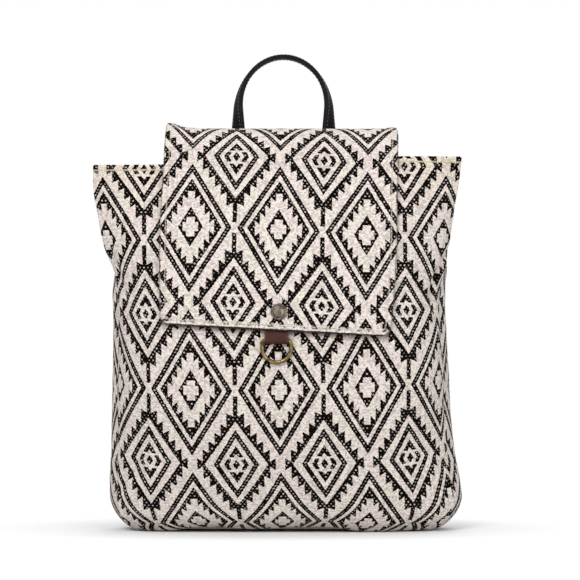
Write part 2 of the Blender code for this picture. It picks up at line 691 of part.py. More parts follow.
def barred_frame(name, centre, across, along, outward, width, height, material):
    """A flat slider of three bars between two sides."""
    half, tall, bar = width / 2, height / 2, SLIDER_BAR
    lines = [-half, -half + bar, half - bar, half]
    levels = [-tall, -tall + bar, -bar / 2, bar / 2, tall - bar, tall]
    holes = {(1, 1), (1, 3)}
    bm = bmesh.new()
    corner = {}
    for i, u in enumerate(lines):
        for j, v in enumerate(levels):
            for k in (-1, 1):
                face = outward * k * SLIDER_PLATE / 2
                corner[i, j, k] = bm.verts.new(centre + across * u + along * v + face)
    solid = {(i, j) for i in range(3) for j in range(5)} - holes
    edges = {
        (-1, 0): ((0, 0), (0, 1)), (1, 0): ((1, 0), (1, 1)),
        (0, -1): ((0, 0), (1, 0)), (0, 1): ((0, 1), (1, 1)),
    }
    for i, j in solid:
        for k in (-1, 1):
            bm.faces.new([corner[i + a, j + b, k] for a, b in ((0, 0), (1, 0), (1, 1), (0, 1))])
        for (right, up), (a, b) in edges.items():
            if (i + right, j + up) not in solid:
                one, two = (i + a[0], j + a[1]), (i + b[0], j + b[1])
                bm.faces.new([corner[(*one, -1)], corner[(*two, -1)], corner[(*two, 1)], corner[(*one, 1)]])
    return finish_mesh(name, bm, material, sharp=0.5)


def on_back(x, height, stand):
    """A place at some distance behind the back panel."""
    return np.array([x, panel_depth(x, height, False) + stand, height])


def strap_route(side):
    """A strap's way from under the yoke down toward the slider: it bows away so that an arm goes through."""
    start = np.array([HANDLE_CENTRE + side * STRAP_TOP_X, YOKE_MIDDLE + STRAP_HEAD])
    end = np.array([side * RING_X, LUG_RING_HEIGHT])
    top = rear_layer(0, FLAP_SPRING, LAYER_GAP + STRAP_LEATHER / 2) - panel_depth(0, FLAP_SPRING, False)
    points = []
    for t in np.linspace(0, 1, STRAP_STATIONS):
        free = max(0.0, (t - STRAP_HELD) / (1 - STRAP_HELD))
        x = start[0] + (end[0] - start[0]) * free**1.15
        z = start[1] + (end[1] - start[1]) * t
        stand = top + (WEB_STAND - top) * free + STRAP_BOW * np.sin(np.pi * free**0.9) ** 1.3
        points.append(on_back(x, z, stand))
    return points


def build_strap(side, word):
    """One shoulder strap: leather from the yoke to a slider, webbing from there to a ring held in a lug."""
    route = strap_route(side)
    face = np.array([0.0, 1.0, 0.0])
    split = route[STRAP_SPLIT]
    onward = unit(route[STRAP_SPLIT + 1] - route[STRAP_SPLIT - 1])
    across = unit(np.cross(onward, face))
    outward = unit(np.cross(across, onward))
    leather_turn = SLIDER_REACH + LAYER_GAP + STRAP_LEATHER / 2
    top_bar = split - outward * leather_turn
    sides = [unit(np.cross(way, face)) for way in np.gradient(np.array(route), axis=0)[:STRAP_SPLIT]]
    path = route[:STRAP_SPLIT] + turn_round(top_bar, outward, onward, leather_turn)
    path += [top_bar - outward * leather_turn - onward * STRAP_RETURN * k for k in (0.5, 1.0)]
    leather = surface(word + "_strap_leather", BLACK_LEATHER, 0.5)
    sides += [across] * (len(path) - STRAP_SPLIT)
    ribbon(word + "_shoulder_strap", path, sides, STRAP_WIDTH, STRAP_LEATHER, leather)

    pitch = SLIDER_BAR + SLIDER_SLOT
    middle = top_bar + onward * pitch
    brass = surface(word + "_slider_brass", BRASS, 0.35, 1.0)
    width = STRAP_WIDTH + 2 * (SLIDER_BAR + LAYER_GAP)
    tall = 3 * SLIDER_BAR + 2 * SLIDER_SLOT
    barred_frame(word + "_slider", middle, across, onward, outward, width, tall, brass)

    foot = on_back(side * LUG_X, LUG_HEIGHT, 0.0)
    lean = unit(on_back(side * RING_X, LUG_RING_HEIGHT, 0.0) - foot)
    lug_ends = [on_back(side * LUG_X + half, LUG_HEIGHT, 0.0) for half in (LUG_WIDTH / 2, -LUG_WIDTH / 2)]
    lug_out = unit(np.cross(lean, lug_ends[0] - lug_ends[1]))
    lug_across = unit(np.cross(lean, lug_out))
    lug_turn = LOWER_WIRE / 2 + RING_PLAY + LUG_LEATHER / 2
    low_bar = foot + lean * LUG_LENGTH + lug_out * (LUG_SEAT + lug_turn + LUG_LEATHER / 2)
    legs = (LUG_LEATHER + SEAM_GAP) / 2
    base = foot + lug_out * (LUG_SEAT + LUG_LEATHER / 2 + legs)
    path = [base + lug_out * legs, base + lug_out * legs + lean * LUG_LENGTH * 0.55]
    path += turn_round(low_bar, lug_out, lean, lug_turn)
    path += [base - lug_out * legs + lean * LUG_LENGTH * 0.55, base - lug_out * legs]
    lug = surface(word + "_lug_leather", BLACK_LEATHER, 0.5)
    ribbon(word + "_strap_lug", path, [lug_across] * len(path), LUG_WIDTH, LUG_LEATHER, lug)

    high_bar = low_bar + lean * LOWER_RING_TALL
    loop = rounded_loop(low_bar, high_bar, lug_across, LOWER_RING_HALF)
    ring = surface(word + "_ring_brass", BRASS, 0.35, 1.0)
    centre = (low_bar + high_bar) / 2
    wire_loop(word + "_strap_ring", [p - centre for p in loop], LOWER_WIRE, centre, ring)

    web_turn = SLIDER_REACH + LAYER_GAP + WEB_THICK / 2
    ring_turn = LOWER_WIRE / 2 + RING_PLAY + WEB_THICK / 2
    fall = high_bar - middle
    fall_way = unit(fall - lug_across * np.dot(fall, lug_across))
    fall_out = unit(lug_out - fall_way * np.dot(lug_out, fall_way))
    path = [middle + outward * web_turn + onward * WEB_TAIL * k for k in (1.0, 0.6, 0.25)]
    path += turn_round(middle, outward, -onward, web_turn)
    start = middle - outward * web_turn + onward * (pitch + SLIDER_BAR)
    target = high_bar + fall_out * ring_turn - fall_way * LOWER_WIRE
    held = len(path) + 1
    path += [start + (target - start) * k for k in (0.0, 0.25, 0.5, 0.75, 1.0)]
    path += turn_round(high_bar, fall_out, fall_way, ring_turn)
    path += [high_bar - fall_out * ring_turn - fall_way * WEB_RETURN * k for k in (0.5, 1.0)]
    low_across = lug_across * np.sign(np.dot(lug_across, across))
    sides = [across] * held
    sides += [unit(across * (1 - k) + low_across * k) for k in (0.25, 0.5, 0.75)]
    sides += [low_across] * (len(path) - len(sides))
    webbing = surface(word + "_webbing", WEBBING, 0.9)
    ribbon(word + "_webbing", path, sides, WEB_WIDTH, WEB_THICK, webbing)


def rounded_loop(low, high, across, half):
    """A rectangle of wire with rounded corners between two bars."""
    along = unit(high - low)
    tall = np.linalg.norm(high - low) / 2
    centre = (low + high) / 2
    corner = LOWER_WIRE
    points = []
    for u, v, start in ((1, 1, 0), (-1, 1, 1), (-1, -1, 2), (1, -1, 3)):
        for a in np.linspace(start, start + 1, 4) * np.pi / 2:
            x = u * (half - corner) + corner * np.cos(a)
            y = v * (tall - corner) + corner * np.sin(a)
            points.append(centre + across * x + along * y)
    return points


def stand_on_origin():
    """Hangs every piece on one empty and moves it, so that the whole footprint's middle is the origin."""
    bpy.context.view_layer.update()
    pieces = [thing for thing in bpy.data.objects if thing.type in {"MESH", "CURVE"}]
    corners = np.array([thing.matrix_world @ Vector(c) for thing in pieces for c in thing.bound_box])
    low, high = corners.min(axis=0), corners.max(axis=0)
    root = bpy.data.objects.new("backpack", None)
    bpy.context.collection.objects.link(root)
    for thing in pieces:
        thing.parent = root
    root.location = (-(low[0] + high[0]) / 2, -(low[1] + high[1]) / 2, -low[2])


def build_all():
    clear_scene()
    inner, front_edge, back_edge = build_walls()
    build_base(inner, front_edge, back_edge)
    build_lining(inner)
    build_flap()
    build_snap()
    build_tab_and_ring()
    build_handle()
    build_yoke()
    build_strap(-1, "left")
    build_strap(1, "right")
    stand_on_origin()


build_all()
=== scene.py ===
"""The looks of a small flap backpack: slubby cream canvas with black stepped diamonds, twill lining, leather
handle, tab and straps, and antique brass. The shapes follow the solids that the frame holds, made finer."""

import math

import bmesh
import bpy
import numpy as np
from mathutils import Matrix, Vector, noise


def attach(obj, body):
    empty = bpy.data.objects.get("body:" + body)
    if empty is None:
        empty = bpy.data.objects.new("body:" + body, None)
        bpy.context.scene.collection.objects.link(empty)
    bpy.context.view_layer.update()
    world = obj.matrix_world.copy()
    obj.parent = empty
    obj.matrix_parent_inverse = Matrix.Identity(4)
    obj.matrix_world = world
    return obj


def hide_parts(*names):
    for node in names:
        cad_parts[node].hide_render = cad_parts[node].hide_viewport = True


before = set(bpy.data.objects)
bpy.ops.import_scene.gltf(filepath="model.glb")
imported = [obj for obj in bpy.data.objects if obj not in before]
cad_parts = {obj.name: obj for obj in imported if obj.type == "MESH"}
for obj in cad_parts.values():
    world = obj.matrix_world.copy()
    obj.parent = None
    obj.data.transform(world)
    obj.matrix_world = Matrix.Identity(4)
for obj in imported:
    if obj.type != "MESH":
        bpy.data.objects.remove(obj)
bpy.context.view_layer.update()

# Cloth, in metres like every size here
CANVAS = 0.0013
LINING = 0.0006
SEAM_GAP = 0.0003
LINING_GAP = 0.0018
LAYER_GAP = 0.0004
DEPTH_SHIFT = -0.00968

# The body of the bag
BAG_HALF = 0.1742
RIM_HEIGHT = 0.3493
RIM_DROP = 0.0040
RIM_DROP_RUN = 0.060
TURN_POWER = 3.5
CLOTH_STEPS = 60
LEVELS = 300
CORNER_RUN = 0.023
CORNER_RISE = 0.030
BASE_RUN = 0.013
BASE_RISE = 0.017
HEM_DROP = 0.004
LEFT_SEAM = [
    (0.030, 0.866), (0.070, 0.864), (0.150, 0.867), (0.200, 0.865), (0.225, 0.870), (0.2475, 0.887),
    (0.256, 0.905), (0.264, 0.926), (0.284, 0.958), (0.305, 0.978), (0.320, 0.996), (RIM_HEIGHT, 1.0),
]
RIGHT_SEAM = [
    (0.030, 0.959), (0.060, 0.933), (0.110, 0.909), (0.150, 0.904), (0.190, 0.888), (0.215, 0.884),
    (0.232, 0.893), (0.247, 0.923), (0.262, 0.9335), (0.280, 0.947), (0.305, 0.966), (0.330, 0.990),
    (RIM_HEIGHT, 1.0),
]
FRONT_FACE = [
    (0.0, -0.046), (0.050, -0.055), (0.120, -0.061), (0.200, -0.058), (0.280, -0.044), (RIM_HEIGHT, -0.0275),
]
BACK_FACE = [
    (0.0, 0.045), (0.050, 0.050), (0.120, 0.052), (0.200, 0.049), (0.280, 0.040), (RIM_HEIGHT, 0.0275),
]
FRONT_SLACK = [
    (0.0, 0.0025), (0.030, 0.0060), (0.090, 0.0150), (0.150, 0.0208), (0.210, 0.0198), (0.270, 0.0085),
    (RIM_HEIGHT, 0.0016),
]
BACK_SLACK = [(0.0, 0.0030), (RIM_HEIGHT, 0.0030)]
GUSSET_FOLD = [
    (0.0, -0.002), (0.030, -0.0080), (0.080, -0.0075), (0.150, -0.0062), (0.200, -0.0060), (0.235, -0.0040),
    (0.252, 0.0015), (0.270, 0.010), (0.295, 0.021), (RIM_HEIGHT, 0.031),
]
GUSSET_ROUNDNESS = 1.7

# The flap
FLAP_SPRING = 0.340
FLAP_TOP = 0.3812
FLAP_SEAM = 0.312
FLAP_ARCH_POWER = 2.6
FLAP_STAND = 0.0020
FLAP_SNAP_STAND = 0.0042
FLAP_CANVAS = 0.0011
FLAP_EDGE_HEIGHT = 0.1899
FLAP_EDGE_SLOPE = -0.0532
FLAP_CORNER = 0.0095
FLAP_LEFT = [
    (0.0, -0.1012), (0.006, -0.1034), (0.020, -0.1048), (0.0412, -0.1065), (0.075, -0.1085), (0.110, -0.1094),
    (0.150, -0.1093), (0.200, -0.1080),
]
FLAP_RIGHT = [
    (0.0, 0.1110), (0.013, 0.1132), (0.033, 0.1132), (0.060, 0.1122), (0.115, 0.1110), (0.160, 0.1080),
    (0.200, 0.1035),
]
FLAP_LEFT_CORNER_RISE = 0.0052
FLAP_RIGHT_CORNER_RISE = 0.0010
FLAP_CORNER_RISE_RUN = 0.030

# The pull tab, the D-ring and the snap
TAB_X = -0.0005
TAB_WIDTH = 0.0224
TAB_LEATHER = 0.0013
TAB_RISE = 0.0092
TAB_HEM = FLAP_EDGE_HEIGHT + FLAP_EDGE_SLOPE * TAB_X + LAYER_GAP
RING_WIRE = 0.0032
RING_HALF = 0.0135
RING_STRAIGHT = 0.0068
RING_HEIGHT = TAB_HEM - 0.0098
RING_PLAY = 0.0004
SNAP_X = 0.0017
SNAP_RADIUS = 0.0070
SNAP_HEIGHT = TAB_HEM + TAB_RISE + SNAP_RADIUS + 0.0008
CAP_RADIUS = 0.0078
CAP_DOME = 0.0026

# The yoke, the handle and the straps
YOKE_HALF = 0.0640
YOKE_HEIGHT = 0.0360
YOKE_MIDDLE = FLAP_SPRING - 0.0130
YOKE_LEATHER = 0.0016
HANDLE_CENTRE = 0.0058
HANDLE_SPREAD = 0.0437
HANDLE_WIDTH = 0.0150
HANDLE_LEATHER = 0.0045
HANDLE_FOOT = FLAP_SPRING - 0.0220
HANDLE_SHOULDER = FLAP_SPRING + 0.0615
HANDLE_TOP = HANDLE_SHOULDER + 0.0530
HANDLE_FLAT = FLAP_SPRING + 0.0050
HANDLE_TWIST_POWER = 1.5
STRAP_TOP_X = 0.0175
STRAP_WIDTH = 0.0280
STRAP_LEATHER = 0.0020
STRAP_HEAD = 0.0120
STRAP_BOW = 0.0300
STRAP_HELD = 0.10
STRAP_STATIONS = 28
STRAP_SPLIT = 17
STRAP_RETURN = 0.0140
WEB_WIDTH = 0.0240
WEB_THICK = 0.0013
WEB_STAND = 0.0060
WEB_TAIL = 0.0450
WEB_RETURN = 0.0120
SLIDER_BAR = 0.0030
SLIDER_SLOT = 0.0085
SLIDER_PLATE = 0.0024
SLIDER_REACH = 0.0020
LUG_X = 0.1120
LUG_HEIGHT = 0.0400
LUG_LENGTH = 0.0170
LUG_WIDTH = 0.0230
LUG_LEATHER = 0.0014
LUG_SEAT = 0.0007
RING_X = 0.1020
LUG_RING_HEIGHT = 0.0700
LOWER_WIRE = 0.0028
LOWER_RING_HALF = 0.0162
LOWER_RING_TALL = 0.0120

# The print: one unit is a thread group of the cloth, and diamonds repeat every PITCH units
UNIT = 0.00094
PITCH_ACROSS = 87.5
PITCH_DOWN = 145.0
# (height, rows of the print counted down from the upper one), and the middle column's way off the bag's middle
BODY_ROWS = [
    (-0.060, 3.0), (0.0, 2.625), (0.0085, 2.5), (0.020, 2.358), (0.040, 2.187), (0.0649, 2.0), (0.1344, 1.5),
    (0.2059, 1.0), (0.2764, 0.5), (0.3406, 0.0), (0.360, -0.14),
]
BODY_COLUMN = [
    (0.0, 6.0), (0.030, 4.9), (0.0649, 3.5), (0.100, 2.4), (0.1344, 2.1), (0.170, 1.1), (0.2059, -1.0), (0.3406, -2.6),
]
# How far the print rises at the left and right seams, and how far in it moves at the right one, by height
LEFT_RISE = [
    (0.015, 0.0), (0.050, 7.5), (0.120, 7.0), (0.150, 4.8), (0.185, 4.0), (0.205, 2.9), (0.245, 1.4), (0.285, 1.9),
    (0.306, 4.4), (0.330, 5.7),
]
RIGHT_RISE = [
    (0.015, 0.0), (0.050, 9.0), (0.080, 9.0), (0.120, 7.0), (0.150, 4.6), (0.185, 3.8), (0.205, 1.5), (0.225, -1.2),
    (0.250, -2.6), (0.300, -2.6), (0.335, -0.4),
]
RIGHT_IN = [(0.030, 0.0), (0.080, 2.2), (0.120, 2.8), (0.150, 1.2), (0.170, 0.0), (0.230, 0.1), (0.310, 1.2)]
FLAP_ROWS = [(0.180, 1.270), (0.2174, 1.0), (0.2869, 0.5), (0.3542, 0.0)]
FLAP_COLUMN = [(0.180, -0.6), (0.2174, 0.2), (0.2869, 1.4), (0.3542, 3.3)]
FLAP_SPREAD = 0.9965
FLAP_TOP_GROWTH = 1.42
# How far the flap's print hangs, from its left to its right
FLAP_DROP = [(-0.105, 0.3), (-0.084, 0.0), (-0.0373, 1.2), (0.0092, 3.2), (0.0558, 6.5), (0.079, 8.5), (0.105, 8.5)]

# The camera looks level at the bag, and its picture covers this much of an upright plane through the bag
CAMERA_AWAY = 2.6
CAMERA_PLANE = -0.045
PICTURE_WIDTH = 0.545
PICTURE_X, PICTURE_Z = 0.0120, 0.2275
SENSOR = 36.0
AIM = (0, 0, 0.2)
# name, place, side and power of each square lamp
LAMPS = [
    ("key", (-1.1, -2.4, 2.0), 1.4, 42.0), ("fill", (1.6, -2.3, 1.1), 1.8, 20.0), ("rear", (0.4, 2.3, 1.8), 1.6, 22.0),
]
ROOM_LIGHT = 0.54
FLOOR_HALF = 6
# The floor turns white over this run from the bag, as the background is
SHADOW_REACH = 0.170
SHADOW_FADE = 0.110

# How fine the cloth is made
PANEL_COLUMNS = 190
CURVE_ROWS = 14
WALL_ROWS = 150
GUSSET_COLUMNS = 40
FLAP_COLUMNS = 130
HEM_WIDTH = 0.0046
HEM_RISE = 0.00035
ON_FLAP = -1000.0


def hermite(values, slopes, k, t, step=1.0):
    """A smooth run from entry k to the next one, at share t of the step between them."""
    return (
        values[k] * (1 + 2 * t) * (1 - t) ** 2
        + slopes[k] * step * t * (1 - t) ** 2
        + values[k + 1] * t * t * (3 - 2 * t)
        + slopes[k + 1] * step * t * t * (t - 1)
    )


def smooth_through(knots):
    """A function that runs smoothly through (place, value) knots and stays level past both ends."""
    places = np.array([k[0] for k in knots])
    values = np.array([k[1] for k in knots])
    slopes = np.gradient(values, places)

    def at(place):
        place = np.clip(place, places[0], places[-1])
        k = np.clip(np.searchsorted(places, place) - 1, 0, len(places) - 2)
        step = places[k + 1] - places[k]
        return hermite(values, slopes, k, (place - places[k]) / step, step)

    return at


left_seam = smooth_through([(height, share * BAG_HALF) for height, share in LEFT_SEAM])
right_seam = smooth_through([(height, share * BAG_HALF) for height, share in RIGHT_SEAM])
gusset_fold = smooth_through(GUSSET_FOLD)
flap_left = smooth_through(FLAP_LEFT)
flap_right = smooth_through(FLAP_RIGHT)
body_rows = smooth_through(BODY_ROWS)
body_column = smooth_through(BODY_COLUMN)
flap_rows = smooth_through(FLAP_ROWS)
flap_column = smooth_through(FLAP_COLUMN)
flap_drop = smooth_through(FLAP_DROP)
left_rise = smooth_through(LEFT_RISE)
right_rise = smooth_through(RIGHT_RISE)
right_in = smooth_through(RIGHT_IN)


def ease(place, start, end):
    """0 before start, 1 after end, and smooth between."""
    t = np.clip((place - start) / (end - start), 0, 1)
    return t * t * (3 - 2 * t)


def curve_in(height, run, rise):
    """How far the wall has curved in at this height, near the base."""
    t = np.clip(height / rise, 0, 1)
    return run * (1 - np.sqrt(np.maximum(0, 1 - (1 - t) ** 2)))


def turned_cloth(half_cloth, half_width):
    """Panels whose cloth is wider than the room it has turn back toward their edges. For each height, how far
    across and how far back the cloth lies, for even steps of cloth from the middle to the edge."""
    share = np.linspace(0, 1, CLOTH_STEPS + 1)
    step = (half_cloth / CLOTH_STEPS)[:, None]
    low = np.zeros_like(half_cloth)
    high = low + 2.4
    for _ in range(40):
        turn = (low + high) / 2
        angle = turn[:, None] * share**TURN_POWER
        middle = (angle[:, 1:] + angle[:, :-1]) / 2
        reach = np.sum(np.cos(middle) * step, axis=1)
        low = np.where(reach > half_width, turn, low)
        high = np.where(reach > half_width, high, turn)
    start = np.zeros((len(half_cloth), 1))
    run = np.hstack([start, np.cumsum(np.cos(middle) * step, axis=1)])
    back = np.hstack([start, np.cumsum(np.sin(middle) * step, axis=1)])
    return run * (half_width / run[:, -1])[:, None], back


def look_up(table, row, column):
    """Reads a table between its entries."""
    row = np.clip(row, 0, table.shape[0] - 1.0001)
    column = np.clip(column, 0, table.shape[1] - 1.0001)
    i, j = row.astype(int), column.astype(int)
    a, b = row - i, column - j
    one = table[i, j] * (1 - b) + table[i, j + 1] * b
    two = table[i + 1, j] * (1 - b) + table[i + 1, j + 1] * b
    return one * (1 - a) + two * a


class Wall:
    """The outer face of the front or the back panel."""

    def __init__(self, face, slack, front):
        self.face = smooth_through(face)
        self.slack = smooth_through(slack)
        self.way = 1 if front else -1
        levels = np.linspace(0, RIM_HEIGHT, LEVELS + 1)
        self.across = np.linspace(0, BAG_HALF, LEVELS + 1)
        self.run, self.back, self.depth = [], [], []
        for seam in (left_seam, right_seam):
            half = seam(levels)
            run, back = turned_cloth(half + self.slack(levels), half)
            self.run.append(run)
            self.back.append(back)
            self.depth.append(np.array([np.interp(self.across, r, b) for r, b in zip(run, back)]))

    def read(self, tables, left, row, column):
        return np.where(left, look_up(tables[0], row, column), look_up(tables[1], row, column))

    def seam(self, left, height):
        return np.where(left, left_seam(height), right_seam(height))

    def cloth(self, share, height):
        """Distance along the cloth from the middle."""
        return share * (self.seam(share < 0, height) + self.slack(height))

    def point(self, share, height):
        share, height = np.broadcast_arrays(np.asarray(share, float), np.asarray(height, float))
        left = share < 0
        row = height / RIM_HEIGHT * LEVELS
        column = np.abs(share) * CLOTH_STEPS
        seam = self.seam(left, height)
        x = self.read(self.run, left, row, column)
        x = x * (seam - curve_in(height, CORNER_RUN, CORNER_RISE)) / seam * np.sign(share)
        inward = self.read(self.back, left, row, column) + curve_in(height, BASE_RUN, BASE_RISE)
        y = self.face(height) + self.way * inward + DEPTH_SHIFT
        lean = RIM_DROP / RIM_HEIGHT * np.tanh(x / RIM_DROP_RUN)
        z = height * (1 + lean * ease(height, BASE_RISE * 0.6, BASE_RISE * 3))
        return np.stack([x, y, z], axis=-1)

    def at(self, x, height):
        """How far front or back the face lies at this place."""
        x, height = np.broadcast_arrays(np.asarray(x, float), np.asarray(height, float))
        row = height / RIM_HEIGHT * LEVELS
        column = np.abs(x) / BAG_HALF * LEVELS
        depth = self.read(self.depth, x < 0, row, column)
        return self.face(height) + self.way * depth + DEPTH_SHIFT


front_wall = Wall(FRONT_FACE, FRONT_SLACK, True)
back_wall = Wall(BACK_FACE, BACK_SLACK, False)


def fold_line(x, z, route, width):
    """1 on a line of folded cloth, fading to 0 at both of its ends and away from it; and how far to its right."""
    near = np.full(np.shape(x), 1e9)
    side = np.zeros(np.shape(x))
    place = np.zeros(np.shape(x))
    total = len(route) - 1
    for k, (a, b) in enumerate(zip(route, route[1:])):
        along = np.array(b) - a
        t = np.clip(((x - a[0]) * along[0] + (z - a[1]) * along[1]) / np.dot(along, along), 0, 1)
        away_x, away_z = x - a[0] - along[0] * t, z - a[1] - along[1] * t
        far = np.hypot(away_x, away_z)
        closer = far < near
        near = np.where(closer, far, near)
        side = np.where(closer, (away_x * along[1] - away_z * along[0]) / np.linalg.norm(along), side)
        place = np.where(closer, (k + t) / total, place)
    fade = ease(place, 0.0, 0.15) * (1 - ease(place, 0.7, 1.0))
    return np.exp(-((near / width) ** 2)) * fade, side


RIGHT_FOLD = [(0.1680, 0.2720), (0.1612, 0.2632), (0.1474, 0.2359), (0.1455, 0.2209), (0.1500, 0.1900)]
LEFT_FOLD = [(-0.1600, 0.2680), (-0.1540, 0.2500), (-0.1455, 0.2250), (-0.1400, 0.1900)]
LOW_RIGHT_FOLD = [(0.1640, 0.0600), (0.1480, 0.0750), (0.1300, 0.1000)]
LOW_LEFT_FOLD = [(-0.1500, 0.0350), (-0.1380, 0.0500), (-0.1200, 0.0850)]
BASE_LIFT = smooth_through([
    (-0.150, 0.0), (-0.118, 0.0002), (-0.100, 0.0008), (-0.078, 0.0034), (-0.056, 0.0040), (-0.027, 0.0028),
    (0.012, 0.0036), (0.060, 0.0036), (0.079, 0.0008), (0.099, 0.0), (0.120, 0.0006), (0.142, 0.0), (0.160, 0.0016),
])


def soft_noise(x, z, scale, seed):
    """Slow waves of hand-sized cloth."""
    flat = [noise.noise(Vector((a * scale, b * scale * 0.7, seed))) for a, b in zip(np.ravel(x), np.ravel(z))]
    return np.array(flat).reshape(np.shape(x))


def rest_of_cloth(x, z, seed):
    """How far waves stand the hanging cloth out of its smooth shape."""
    return soft_noise(x, z, 14, seed) * 0.0011 + soft_noise(x, z, 38, seed + 5) * 0.00035


def front_relief(x, z, height):
    """Waves, calmer under the flap, then the folds at the sides and the hem."""
    out = rest_of_cloth(x, z, 1.7)
    covered = ease(np.abs(x), 0.118, 0.104) * ease(z, 0.172, 0.185)
    out = out * (1 - 0.75 * covered)
    for route, deep, width in (
        (RIGHT_FOLD, 0.0030, 0.0030), (LEFT_FOLD, 0.0016, 0.0034),
        (LOW_RIGHT_FOLD, 0.0016, 0.0060), (LOW_LEFT_FOLD, 0.0014, 0.0055),
    ):
        fold, side = fold_line(x, z, route, width)
        out = out - fold * deep + fold * deep * 1.1 * np.tanh(side / width)
    return out + hem_relief(RIM_HEIGHT - height)


def back_relief(x, z, height):
    """Weak waves that stop below the yoke, and the hem."""
    return rest_of_cloth(x, z, 9.1) * 0.6 * ease(z, 0.36, 0.25) + hem_relief(RIM_HEIGHT - height)


def hem_relief(distance):
    """The cloth is double along a hem, and its stitches pull it in."""
    double = HEM_RISE * (1 - ease(distance, HEM_WIDTH + 0.0002, HEM_WIDTH + 0.0012))
    pulled = 0.00022 * np.exp(-(((distance - HEM_WIDTH) / 0.0006) ** 2))
    return double - pulled


def grid_normals(grid):
    """The direction that each place of a grid of points faces."""
    across = np.gradient(grid, axis=0)
    along = np.gradient(grid, axis=1)
    normal = np.cross(across, along)
    return normal / np.maximum(np.linalg.norm(normal, axis=2, keepdims=True), 1e-12)


def wall_heights():
    """Rows of the walls: close together in the curve at the base and along the hem's stitches."""
    curve = BASE_RISE * (1 - np.cos(np.linspace(0, np.pi / 2, CURVE_ROWS + 1)))
    wall = BASE_RISE + (RIM_HEIGHT - BASE_RISE) * np.linspace(0, 1, WALL_ROWS + 1)[1:]
    hem = RIM_HEIGHT - np.array([0.0062, 0.0055, 0.0050, 0.0046, 0.0041, 0.0034, 0.0008])
    return np.unique(np.concatenate([curve, wall, hem]))


HEIGHTS = wall_heights()


def even_shares(columns):
    """Columns from -1 to 1, a little closer together toward the seams."""
    return np.sin(np.linspace(-1, 1, columns + 1) * np.pi / 2 * 0.8) / np.sin(np.pi / 2 * 0.8)


def print_place(across, rows, column):
    """Where a place of the cloth lies in the print."""
    return np.stack([across / UNIT - column + PITCH_ACROSS / 2, rows * PITCH_DOWN], axis=-1)


def add_mesh(name, points, faces, maps, material, smooth=True):
    """A mesh object with named UV maps, one value for each corner of each face."""
    mesh = bpy.data.meshes.new(name)
    mesh.from_pydata(np.asarray(points).tolist(), [], faces)
    for map_name, values in maps.items():
        layer = mesh.uv_layers.new(name=map_name)
        layer.data.foreach_set("uv", np.asarray(values, float).ravel())
    mesh.materials.append(material)
    made = bpy.data.objects.new(name, mesh)
    bpy.context.collection.objects.link(made)
    if smooth:
        mesh.shade_smooth()
    return made


def face_outward(made):
    """Turns the faces of a closed mesh outward."""
    bm = bmesh.new()
    bm.from_mesh(made.data)
    bmesh.ops.recalc_face_normals(bm, faces=bm.faces)
    bm.to_mesh(made.data)
    bm.free()


def stands_for(piece, node, body="bag"):
    """The piece moves with its body and takes the place of a solid, which is hidden."""
    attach(piece, body)
    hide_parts(node)


def tube_faces(rings, sides, first=0, closed=False):
    """Faces between rings of points, and over both ends of a tube that isn't closed."""
    faces = []
    for k in range(rings if closed else rings - 1):
        here, there = first + k * sides, first + (k + 1) % rings * sides
        for s in range(sides):
            turn = (s + 1) % sides
            faces.append((here + s, here + turn, there + turn, there + s))
    if not closed:
        faces.append(tuple(range(first, first + sides))[::-1])
        faces.append(tuple(range(first + (rings - 1) * sides, first + rings * sides)))
    return faces


